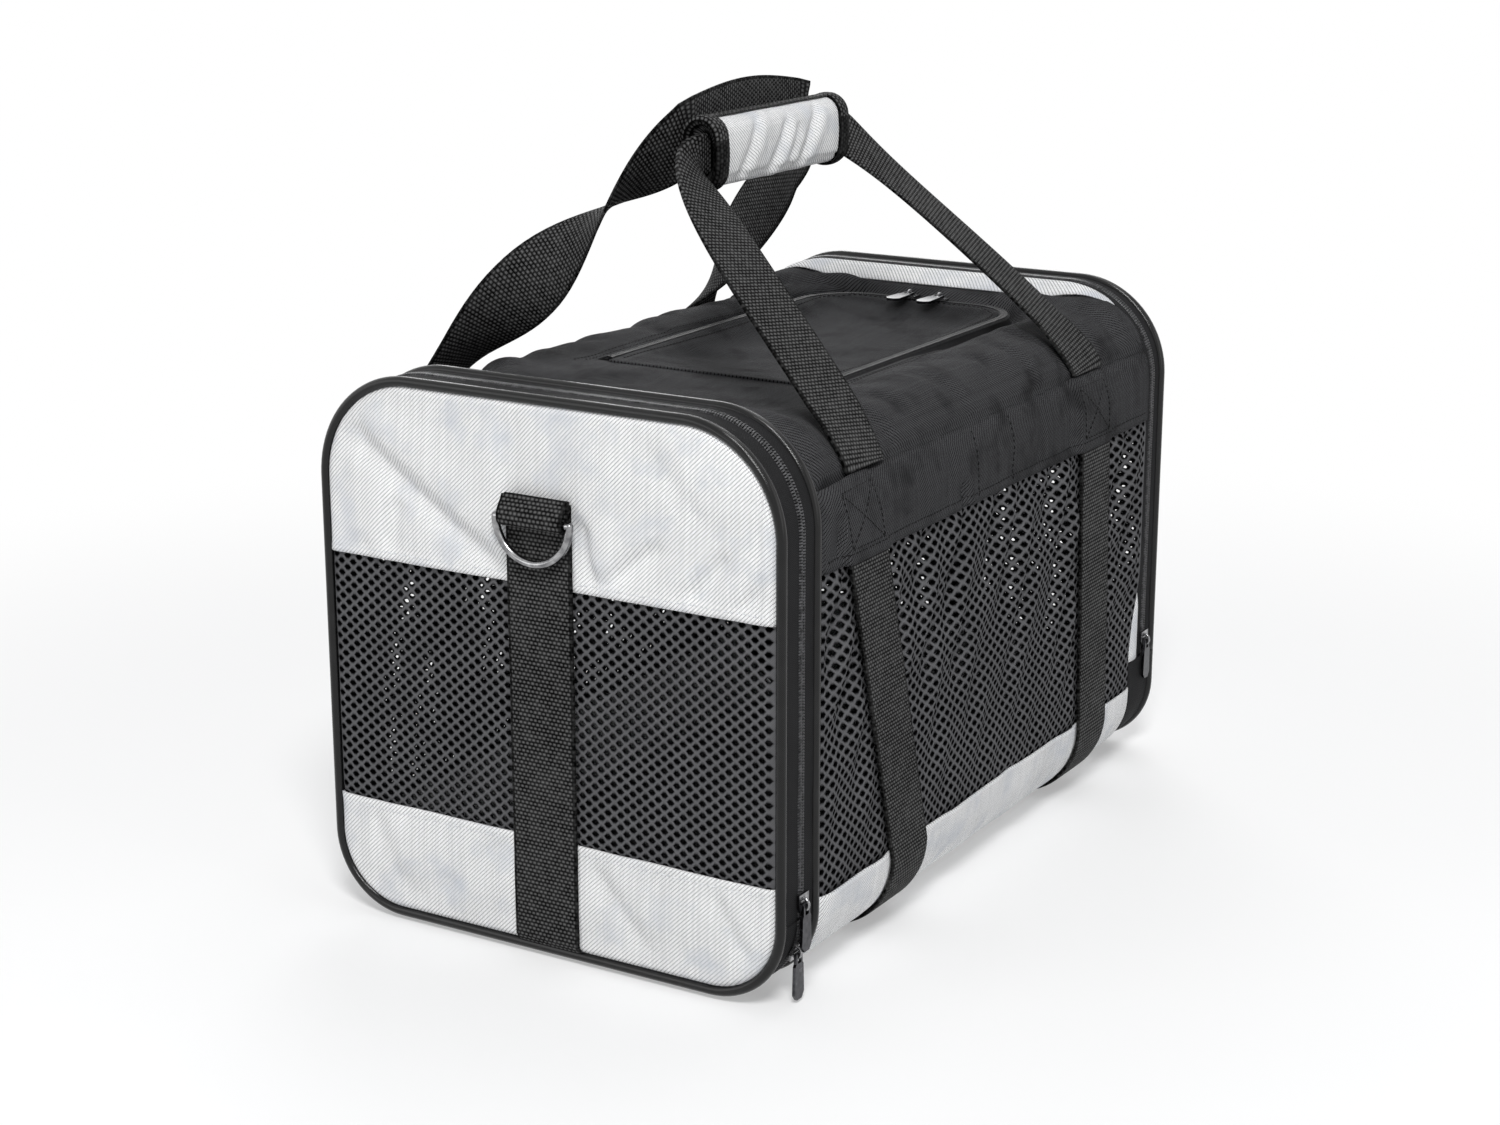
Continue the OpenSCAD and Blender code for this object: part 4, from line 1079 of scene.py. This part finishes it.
def bandLevels():
    z = np.linspace(bag["bandFoot"] - 0.6, bag["seam"] + 0.4, 17)
    (x, low), r = bag["shoulder"], bag["shoulderBend"]
    rise = np.clip((z - low) / r, 0, 1)
    nx = np.sqrt(1 - rise ** 2)
    x = x + r * nx
    return runAlong(stack(x, z)), x, z, nx, rise


def lowerLevels():
    fx, fz = bag["footCentre"]
    a = np.radians(np.linspace(-90, 0, 20))
    x = np.concatenate([[fx - 2.0], fx + bag["footBend"] * np.cos(a), [bag["half"], bag["half"]]])
    z = np.concatenate([[bag["foot"]], fz + bag["footBend"] * np.sin(a), [fz + 2.2, bag["lowerSeam"] + 0.4]])
    nx = np.concatenate([[0], np.cos(a), [1, 1]])
    nz = np.concatenate([[-1], np.sin(a), [0, 0]])
    return runAlong(stack(x, z)), x, z, nx, nz


def sideNet(side):
    def place(y, z):
        return stack(side * (sideWall(y, z) + netOut(y, z, side)), y + rearRun(y, z), z)

    return knitNet(bag["frontSeam"] - 1.4, bag["rearSeam"] + 0.4,
                   bag["lowerSeam"] - 2.5, bag["bandFoot"] + 2.5, place, side < 0)


def bandSeam(side, y, z):  # a line of stitches on the side's upper band
    x = side * (sideWall(y, z) + bandOut(y, z, side) + 0.1)
    stitchRun("shell", stack(x, y + rearRun(y, z), z), (side, 0, 0))


for side, word in ((1, "right"), (-1, "left")):
    part = sideCloth(side, bandLevels(), bandOut)
    sewPiece("side_band_" + word + "_cloth", part, "blackOxford", "shell", ["side_band_" + word],
             thick=sides["thick"], restsOn=["front_body_piping_cover"])
    part = sideCloth(side, lowerLevels(), lowerOut, lowerBand["tuckRise"])
    sewPiece("lower_band_" + word + "_cloth", part, "greyOxford", "shell", ["lower_band_" + word],
             thick=sides["thick"], restsOn=["front_body_piping_cover"])
    part, eyes = sideNet(side)
    sewPiece("side_net_" + word + "_cloth", part, "netYarn", "shell", ["side_net_" + word],
             thick=net["sideThick"], eyes=eyes, restsOn=["side_band_" + word + "_cloth"])
    start, end, level = sideBand["hemStitch"]
    y = np.linspace(start, end, 120)
    bandSeam(side, y, level + 0 * y)
    z = np.linspace(*sideBand["lineRise"], 12)
    for line in sideBand["lines"]:
        bandSeam(side, line + 0 * z, z)
    t = np.linspace(0, 1, 14)
    for node in belts:  # a box with a cross over each belt's upper end
        ends = -sideBand["boxHalf"], sideBand["boxHalf"]
        spots = [(beltMiddle(level, node) + off, level) for level in sideBand["box"] for off in ends]
        for first, second in ((0, 1), (2, 3), (0, 2), (1, 3), (0, 3), (1, 2)):
            (y0, z0), (y1, z1) = spots[first], spots[second]
            bandSeam(side, y0 + (y1 - y0) * t, z0 + (z1 - z0) * t)

under = {"half": 95.0, "z": 2.7, "thick": 1.4, "soft": [(0.35, 38.0, 51)]}
x, y = np.meshgrid(np.linspace(-under["half"], under["half"], 60),
                   np.linspace(bag["frontSeam"] - 1.0, bag["rearSeam"] + 0.5, 110))
z = under["z"] + rumple(x, y, under["soft"])
part = gridPart(stack(x, y, z), stack(x, y), flip=True)
sewPiece("bottom_panel_cloth", part, "blackOxford", "shell", ["bottom_panel"], thick=under["thick"],
         restsOn=["front_belt_webbing", "rear_belt_webbing"])
print("sides: bands, nets, lower bands, bottom")

# top and hatch
hatch = {
    "half": 62.0, "front": -69.8, "rear": 171.7, "bend": 30.0, "z": 274.2, "chain": 3.3, "chainZ": 273.2,
    "sag": 11.0, "folds": [(-50, -20, 20, 60, 9.0, 1.4), (-10, 150, 44, 84, 8.0, 1.3)],
    "soft": [(0.7, 36.0, 71), (0.35, 15.0, 72)], "puff": (1.3, 7.0, 5.0),  # puff: height, off the edge, width
}
top = {
    "rings": 30, "around": 420, "thick": 1.2, "edge": 9.0, "reach": 140.5, "middle": (0.0, 40.0),
    "pull": (46.0, 9.5, 28.0), "rearWide": (66.0, 30.0), "rearHeld": (68.0, 44.0),  # held by the end hoops
    "tuck": 1.9, "tuckSide": (132.5, 4.5), "lapUp": 2.4, "lapRear": (160.0, 28.0),
    "roll": 4.6, "rollSpan": (78.0, 59.0), "rollSoft": [(0.3, 48.0, 61)], "rollEnds": (16.0, 16.0),
    "rootHalf": 25.0, "apron": 3.0, "apronSide": (95.0, -60.0), "apronFront": (-62.0, -50.0),
    "drop": 7.5, "dropRear": (10.0, 110.0), "dropSide": (30.0, 32.0), "weltSoft": [(0.2, 22.0, 62)],
    "trough": [(-1.0, 1.5, 4.5), (0.3, 18.0, 8.0)],  # share of the drop, off the zip's edge, width
    "soft": [(0.8, 40.0, 63), (0.4, 17.0, 64)], "calm": (137.0, -6.0), "calmEnds": (10.0, 8.0),
    "loose": (90.0, 46.0, 228.2, 137.05),  # half of the flat, bend, height of its centre, run to the seam
    "tight": (80.0, 53.6, 234.2, 145.86),
    "rollFolds": [  # across the rolls of both sides, in run from the middle and y
        (98, -160, 134, -166, 4.5, 1.6), (96, -112, 136, -104, 5.0, 1.8), (84, -100, 118, -70, 6.0, 1.5),
        (92, -30, 135, -22, 6.0, 1.3), (78, 10, 126, 40, 7.0, 1.5), (100, 62, 136, 58, 5.0, 1.7),
        (82, 96, 134, 101, 5.0, 1.9), (84, 152, 132, 146, 5.0, 1.6), (90, 172, 130, 168, 5.0, 1.2),
    ],
    "folds": [(-40, -150, 70, -120, 9.0, 1.6), (-86, -150, -20, -96, 9.0, 1.5)],
}


def hatchLine(grow, start, count):  # the D of the hatch from its right front corner round to the left one
    half, r, rear = hatch["half"] + grow, hatch["bend"] + grow, hatch["rear"] + grow
    cx, cy = half - r, rear - r
    a = np.linspace(0, np.pi / 2, 60)
    right = stack(half, np.linspace(start, cy, 60))
    bend = stack(cx + r * np.cos(a), cy + r * np.sin(a))
    across = stack(np.linspace(cx, -cx, 60), rear)
    flip = np.array([-1.0, 1.0])
    runs = [right, bend, across, (bend * flip)[::-1]]
    line = np.concatenate([run[:-1] for run in runs] + [(right * flip)[::-1]])
    s = runAlong(line)
    at = np.linspace(0, s[-1], count)
    return pick(at, s, line), at


def topSection(run, pull):  # x, z and outward way of the top's cloth, by its run from the middle
    side, length = np.sign(run), np.abs(run)
    parts = []
    for flat, r, centre, full in (top["loose"], top["tight"]):
        s = length * full / top["loose"][3]
        a = np.maximum(s - flat, 0) / r
        parts.append((np.minimum(s, flat) + r * np.sin(a), centre + r * np.cos(a), a))
    x, z, a = [loose + (tight - loose) * pull for loose, tight in zip(*parts)]
    return side * x, z, side * np.sin(a), np.cos(a)


def zipDrop(x, y):  # how far the cloth drops outside the hatch's zip
    return 1.0 + top["drop"] * ramp(y, *top["dropRear"]) * ramp(np.abs(x), *top["dropSide"])


def topOut(run, y, away):  # away: how far outside the hatch opening
    length = np.abs(run)
    roots = sum(bell(y - root, top["rootHalf"], 6) for root in sides["roots"])
    start, over = top["rollSpan"]
    t = np.clip((length - start) / over, 0, 1)
    roll = top["roll"] * np.sin(np.pi * t ** 1.5) * (1 - 0.75 * roots)
    roll = roll * (0.85 + rumple(y, run, top["rollSoft"])) * (1 - endPull(y, *top["rollEnds"]))
    trough = sum(share * bell(away - off, width) for share, off, width in top["trough"])
    welt = zipDrop(run, y) * trough * (1 + rumple(y, run, top["weltSoft"]))
    apron = -top["apron"] * ramp(length, *top["apronSide"]) * ramp(y, *top["apronFront"])
    apron = apron * ramp(y, bag["frontSeam"], 40)
    folds = creases(length, y + 6 * (run < 0), top["rollFolds"]) + creases(run, y, top["folds"])
    soft = rumple(run, y, top["soft"])
    calm = smooth(away / 9) * ramp(length, *top["calm"]) * (1 - endPull(y, *top["calmEnds"]))
    return roll + welt + apron + (soft - folds) * calm


def topPart():
    half, bend, rear = (hatch[key] + top["edge"] for key in ("half", "bend", "rear"))
    front = hatch["front"] - 0.2
    inner = hatchLine(top["edge"], front, top["around"])[0]
    hinge = stack(np.linspace(-half, half, 92)[1:-1], front)
    inner = np.concatenate([inner, hinge])
    low, high = (-top["reach"], bag["frontSeam"] - 1.6), (top["reach"], bag["rearSeam"] + 0.6)
    mid = np.array(top["middle"])
    way = inner - mid
    scale = (np.where(way > 0, high, low) - mid) / np.where(way == 0, 1, way)
    outer = mid + way * np.where(way == 0, np.inf, scale).min(1)[:, None]
    for corner in (high, (low[0], high[1]), low, (high[0], low[1])):  # a point on each corner
        outer[np.argmin(np.hypot(*(outer - corner).T))] = corner
    t = (np.linspace(0, 1, top["rings"] + 1) ** 1.15)[:, None]
    run = inner[None, :, 0] + (outer - inner)[None, :, 0] * t
    y = inner[None, :, 1] + (outer - inner)[None, :, 1] * t
    midY, tall = (rear + front) / 2, (rear - front) / 2
    away = np.maximum(boxOut(run, y - midY, half, tall, np.where(y > midY, bend, 0.01)), 0)
    frontReach, rearNear, rearFar = top["pull"]
    wide = np.abs(run)
    rearReach = rearNear + (rearFar - rearNear) * ramp(wide, *top["rearWide"])
    rearPull = smooth(1 - (bag["rearSeam"] - y) / rearReach) * (0.4 + 0.6 * ramp(wide, *top["rearHeld"]))
    pull = np.maximum(smooth(1 - (y - bag["frontSeam"]) / frontReach), rearPull)
    x, z, nx, nz = topSection(run, pull)
    out = topOut(run, y, away) - top["tuck"] * ramp(wide, *top["tuckSide"])
    out = out + top["lapUp"] * topLap(run) * ramp(y, *top["lapRear"])
    y = y + lapRun(y, topLap(run))
    points = stack(x + out * nx, y, z + out * nz)
    uv = stack(run, y)
    part = gridPart(points, np.concatenate([uv, uv[:, :1]], 1))
    return faceUp(part), points, stack(nx, 0, nz)


part, topPoints, topWays = topPart()
sewPiece("top_panel_cloth", part, "blackOxford", "shell", ["top_panel"], thick=top["thick"],
         restsOn=["front_body_piping_cover"])
for ring in (2, 4):
    stitchRun("shell", topPoints[ring, :top["around"]], topWays[ring, :top["around"]])


def hatchHeight(x, y):
    back = y - hatch["front"]
    rise = np.clip(back / (hatch["rear"] - hatch["front"]), 0, 1)
    edge = np.minimum(hatch["half"] - np.abs(x), hatch["rear"] - y)
    hollow = hatch["sag"] * (1 - np.abs(x / hatch["half"]) ** 5) * np.sin(np.pi * rise) ** 0.9
    soft = rumple(x, y, hatch["soft"]) * smooth(edge / 14) * smooth(back / 14)
    puff, off, width = hatch["puff"]
    puff = puff * bell(edge - off, width) * smooth(back / 30)
    folds = creases(x, y, hatch["folds"]) * smooth(edge / 16)
    return hatch["z"] - 0.15 - hollow + soft + puff - folds


def flapPart():
    bend, cornerY = hatch["bend"], hatch["rear"] - hatch["bend"]
    straight = np.linspace(hatch["front"] - 1.4, cornerY, 74)[:-1]
    rows = np.concatenate([straight, cornerY + bend * np.sin(np.linspace(0, np.pi / 2, 24))])[:, None]
    corner = arcReach(rows, (hatch["half"] - bend, cornerY), bend)
    wide = np.where(rows < cornerY, hatch["half"], corner)
    x = np.linspace(-1, 1, 49)[None, :] * (wide + 0.1)
    y = rows + 0 * x
    return gridPart(stack(x, y, hatchHeight(x, y)), stack(x, y))


flap = sewPiece("hatch_flap_cloth", flapPart(), "blackOxford", None, ["hatch_flap"], thick=1.2,
                restsOn=["top_panel_cloth"])
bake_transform(flap)
line = hatchLine(-3.6, hatch["front"] + 6, 260)[0]
stitchRun("hatch", np.column_stack([line, hatchHeight(line[:, 0], line[:, 1]) + 0.1]), (0, 0, 1))


def hatchFrame(count):  # places along the zip's middle, their distances, and the ways along and out
    line, at = hatchLine(hatch["chain"], hatch["front"] + 4.0, count)
    way = unit(np.gradient(line, axis=0))
    return line, at, way, stack(way[:, 1], -way[:, 0])


line, at, way, out = hatchFrame(200)
for word, near, far, body in (("flap", -4.2, -0.2, "hatch"), ("frame", 0.2, 6.9, "shell")):
    t = np.linspace(near, far, 9)
    flat = line[:, None] + out[:, None] * t[None, :, None]
    drop = (0.9 * zipDrop(flat[..., 0], flat[..., 1]) + 0.3) * ramp(t, 1.5, 5.0)
    points = np.concatenate([flat, (hatch["chainZ"] + 0.1 - drop)[..., None]], -1)
    part = faceUp(gridPart(points, np.stack(np.meshgrid(t, at), -1)))
    sewPiece("hatch_" + word + "_tape", part, "zipTape", body, thick=0.8)

line, at, way, out = hatchFrame(1400)
for word, side, body in (("flap", -1, "hatch"), ("frame", 1, "shell")):
    s = toothPlaces(side, 0, at[-1])
    spots, ahead, aside = [np.column_stack([pick(s, at, k), 0 * s]) for k in (line, way, out)]
    spots[:, 2] = hatch["chainZ"]
    teeth = coilTeeth(spots, ahead, side * aside, np.zeros_like(spots) + (0, 0, 1))
    # the hatch's teeth take the darker coil finish, painted shade for their upward faces
    sewPiece("hatch_" + word + "_teeth", teeth, "hatchCoilShaded", body, ["hatch_" + word + "_chain"], sharp=40)
print("top: panel, hatch and its zip")

# handles and grip
handles = {
    "root": (129.78, 253.7), "middle": -8.0, "steps": 44, "level": 26,
    "held": 0.14, "twistOver": 0.8, "swayOver": 0.56,  # shares of a leg
    "right_handle": {
        "side": 1, "x": -1.0, "z": 388.0, "half": 74.0, "rise": 18.0, "lean": (1.3, 1.3), "turn": 22.0,
        "end": (21.0, 4.0), "arch": 0.0, "twist": 0.0, "sway": 0.0, "sag": 0.0, "body": "handle_right",
    },
    "left_handle": {
        "side": -1, "x": -14.0, "z": 396.0, "half": 59.0, "rise": 36.0, "lean": (0.4, -0.4), "turn": 34.0,
        "end": (38.0, 2.0), "arch": 6.0, "twist": -180.0, "sway": -35.0, "sag": 4.0, "body": "handle_left",
    },
}


def handleLeg(spec, rear):  # places, directions, width directions and shares of the way from root to grip
    rootY = sides["roots"][rear]
    endY = handles["middle"] + (spec["half"] if rear else -spec["half"])
    root = np.array([spec["side"] * handles["root"][0], rootY, handles["root"][1]])
    end = np.array([spec["x"], endY, spec["z"]])
    inward = np.sign(endY - rootY)
    b = root + np.array([0, 0, spec["rise"]])
    c = end - np.array([0, inward * spec["turn"], spec["turn"] / 2])
    stations = []
    for t in np.linspace(0, 1, handles["steps"] + 1):
        spot = (1 - t) ** 3 * root + 3 * (1 - t) ** 2 * t * b + 3 * (1 - t) * t * t * c + t ** 3 * end
        way = unit((1 - t) ** 2 * (b - root) + 2 * (1 - t) * t * (c - b) + t * t * (end - c))
        lean = spec["side"] * spec["lean"][rear] * min(1, 4 * t) * (1 - t ** 6)
        flat = unit((1 - t) * np.array([0, inward, 0]) + t * np.array([lean, 0, -1.0]))
        stations.append((spot, way, unit(flat - np.dot(flat, way) * way), t))
    return stations


def handlePart(spec):
    stations = handleLeg(spec, 0)
    for k in range(1, handles["level"]):
        t = k / handles["level"]
        rise = spec["arch"] * math.sin(math.pi * t)
        spot = np.array([spec["x"], handles["middle"] + spec["half"] * (2 * t - 1), spec["z"] + rise])
        stations.append((spot, np.array([0, 1.0, 0]), np.array([0, 0, -1.0]), 1.0))
    stations += [(spot, -way, flat, t) for spot, way, flat, t in handleLeg(spec, 1)[::-1]]
    spots, ways, flats, shares = (np.array(k) for k in zip(*stations))
    rear = np.arange(len(shares)) > len(shares) / 2
    lower = np.sin(np.pi * np.clip((shares - handles["held"]) / handles["swayOver"], 0, 1))
    along = np.maximum.accumulate(shares) - handles["held"]
    turn = spec["twist"] * smooth(along / handles["twistOver"]) + spec["sway"] * rear * lower
    turn = np.radians(turn)[:, None]
    spots[:, 2] -= spec["sag"] * ~rear * lower
    flats = np.cos(turn) * flats + np.sin(turn) * np.cross(ways, flats)
    endWidth, endThick = spec["end"]
    drawn = shares ** 5
    width = webbing["width"] + (endWidth - webbing["width"]) * drawn
    thick = webbing["thick"] + (endThick - webbing["thick"]) * drawn
    return strapPart(spots, flats, np.cross(flats, ways), width, thick)


for node in ("right_handle", "left_handle"):
    spec = handles[node]
    sewPiece(node + "_webbing", handlePart(spec), "webbing", spec["body"], [node], sharp=50)

grip = {
    "half": 67.0, "round": 10.0, "side": 8.0, "slot": (2.35, 10.35),
    "binding": 8.5, "over": 0.75, "roll": 58.8, "hem": 37.0,
    "soft": [(0.5, 16.0, 81)], "calm": (58.0, -8.0),
    "folds": [  # along the grip, down it: start, end, half width, depth
        (-44, 40, -22, 6, 3.4, 2.0), (-14, 40, 8, 10, 3.4, 2.7), (6, 34, 16, 16, 3.0, 1.7),
        (16, 40, 40, 6, 3.4, 2.5),
    ],
    "mouth": [  # beyond the end, drawn in
        (0.0, 0.0), (0.4, 0.14), (-0.4, 0.3), (-2.8, 0.46), (-5.6, 0.68), (-7.8, 1.0),
    ],
}


def gripOutline(hand, grow, count):  # half of the stadium from the top middle to the bottom middle
    r = grip["round"] + grow
    a = np.linspace(np.pi / 2, 0, count)
    arc = stack(r * np.cos(a), grip["side"] + r * np.sin(a))
    level = np.linspace(grip["side"], -grip["side"], 7)[1:-1]
    flank = stack(r + 0.5 * np.cos(np.pi * level / 2 / grip["side"]), level)
    foot = arc[::-1] * np.array([1, -1])
    line = np.concatenate([arc, flank, foot])
    return line * np.array([hand, 1])


def gripRing(hand, x, y, z):  # places round the middle of the right handle's level stretch
    held = handles["right_handle"]
    return stack(held["x"] + hand * 0.1 + x, handles["middle"] + y, held["z"] + z)


def gripPart(hand):
    outline = gripOutline(hand, 0.0, 13)
    slotX, slotZ = grip["slot"]
    sideZ = np.linspace(-slotZ, slotZ, 5)
    inner = stack(slotX, np.concatenate([[-slotZ - 0.1], sideZ, [slotZ + 0.1]]))
    inner[[0, -1], 0] = 0
    inner = inner * np.array([hand, 1])
    run = runAlong(outline)
    way = unit(stack(np.gradient(outline[:, 1]), -np.gradient(outline[:, 0])) * -hand)
    rings, maps = [], []
    for place in np.linspace(-grip["roll"], grip["roll"], 61):
        flat = place + 0 * run
        wrinkle = rumple(flat, run, grip["soft"]) - creases(flat, run, grip["folds"])
        wrinkle = wrinkle * ramp(abs(place), *grip["calm"]) * smooth(run / 6) * smooth((run[-1] - run) / 6)
        wrinkle = wrinkle - 0.9 * bell(run - grip["hem"], 1.3)
        shell = outline + way * wrinkle[:, None]
        shell[:, 0] = hand * np.maximum(hand * shell[:, 0], 0.0)
        ring = np.concatenate([shell, inner])
        rings.append(gripRing(hand, ring[:, 0], place, ring[:, 1]))
        around = np.concatenate([run, run[-1] + np.arange(1, len(inner) + 2) * 4.0])
        maps.append(stack(place, around))
    part = closeEnds(gridPart(np.stack(rings), np.stack(maps)), len(rings[0]), (False, True))
    return turnOver(part) if hand > 0 else part


def gripBinding(hand, end):  # a band round one end of the grip, turned in to the webbing's mouth
    outline = gripOutline(hand, grip["over"], 13)
    run = runAlong(outline)
    slotX, slotZ = grip["slot"]
    drawX = 1 - slotX / (grip["round"] + grip["over"])
    drawZ = 1 - slotZ / (grip["round"] + grip["side"] + grip["over"])
    rows = []
    for k in np.linspace(0, 1, 9):
        rows.append((grip["half"] - grip["binding"] * (1 - k), 0.5 * math.sin(math.pi * k) ** 0.6, 0.0))
    rows += [(grip["half"] + 0.6 + beyond, 0.0, drawn) for beyond, drawn in grip["mouth"]]
    points, maps = [], []
    for place, swell, drawn in rows:
        x = outline[:, 0] * (1 + swell / 10) * (1 - drawX * drawn)
        z = outline[:, 1] * (1 + swell / 18) * (1 - drawZ * drawn)
        points.append(gripRing(hand, x, end * place, z))
        maps.append(stack(run, place + 9 * drawn))
    return gridPart(np.stack(points), np.stack(maps), hand * end > 0)


def gripEdge(hand):  # the bound edge along the top of the grip
    y = np.linspace(-grip["half"] - 0.5, grip["half"] + 0.5, 40)
    a = np.radians(np.linspace(90, 74, 6))
    r = grip["round"] + 0.85
    points = [gripRing(hand, hand * r * np.cos(a), place, grip["side"] + r * np.sin(a)) for place in y]
    return gridPart(np.stack(points), np.stack(np.meshgrid(np.arange(6) * 0.6, y), -1), hand > 0)


for node, hand, body in (("grip_pad", -1, "handle_right"), ("grip_flap", 1, "grip_cover")):
    piece = sewPiece(node + "_roll", gripPart(hand), "greyOxford", body, [node], sharp=60)
    for word, end in (("front", -1), ("rear", 1)):
        sewPiece(node + "_" + word + "_binding", gripBinding(hand, end), "webbing", body, thick=0.7)
    sewPiece(node + "_edge_binding", gripEdge(hand), "webbing", body, thick=0.7)
print("handles and grip")

# mat
mat = {
    "half": (99.0, 180.7), "middle": 0.95, "z": 7.6, "edge": 9.0, "crown": 8.0, "draw": 5.0, "square": 0.28,
    "around": 168, "rings": 30, "soft": [(0.7, 44.0, 91), (0.3, 18.0, 92)], "softRise": (8.0, 5.0),
    "wall": [  # scale and height of the rings up to the crown
        (0.02, 0), (0.5, 0), (0.93, 0), (0.96, 0.3), (0.985, 2.2), (1.0, 4.5), (0.99, 7.0), (0.97, 8.6),
    ],
}


def matPart():
    a = np.linspace(0, 2 * np.pi, mat["around"], endpoint=False)
    u, v = [np.sign(k) * np.abs(k) ** mat["square"] for k in (np.cos(a), np.sin(a))]
    dome = np.cos(np.linspace(0.34, np.pi / 2 - 0.01, mat["rings"]))
    crown = [(s, mat["edge"] + mat["crown"] * (1 - s ** 2)) for s in dome]
    rows, maps = [], []
    for s, h in mat["wall"] + crown:
        x = s * u * (mat["half"][0] - mat["draw"] * (1 - v * v))
        y = mat["middle"] + s * v * (mat["half"][1] - mat["draw"] * (1 - u * u))
        soft = rumple(x, y, mat["soft"]) * ramp(h, *mat["softRise"])
        rows.append(stack(x, y, mat["z"] + h + soft))
        maps.append(stack(np.append(x, x[0]), np.append(y, y[0])))
    return closeEnds(gridPart(np.stack(rows), np.stack(maps)), mat["around"], (False, False))


piece = sewPiece("mat_cushion", matPart(), "matFleece", "shell", ["mat"])
print("mat")

# metal and board keep their frame shapes; all but the wire get rounded edges
hardware = {  # finish: nodes and rounding in mm
    "nickelPlate": (["front_ring", "rear_ring", "hatch_slider_left", "hatch_slider_right",
                     "front_slider_upper", "front_slider_lower", "rear_slider"], 0.3),
    "gunmetalPlate": (["hatch_pull_left", "hatch_pull_right", "front_pull_upper", "front_pull_lower",
                       "rear_pull"], 0.45),
    "springWire": (["front_hoop_wire"], 0.0),
    "boardSkin": (["base_board"], 0.8),
}
for finish, (nodes, rounding) in hardware.items():
    for node in nodes:
        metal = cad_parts[node]
        metal.data.materials.clear()
        metal.data.materials.append(finishes[finish])
        if rounding:
            edge = metal.modifiers.new("roundedEdges", "BEVEL")
            edge.width, edge.segments, edge.limit_method = rounding * mm, 3, "ANGLE"
            edge.angle_limit, edge.harden_normals = math.radians(35), True
print("hardware:", sum(len(nodes) for nodes, rounding in hardware.values()), "pieces")

sewStitches()
print("stitching:", len(stitches), "threads")
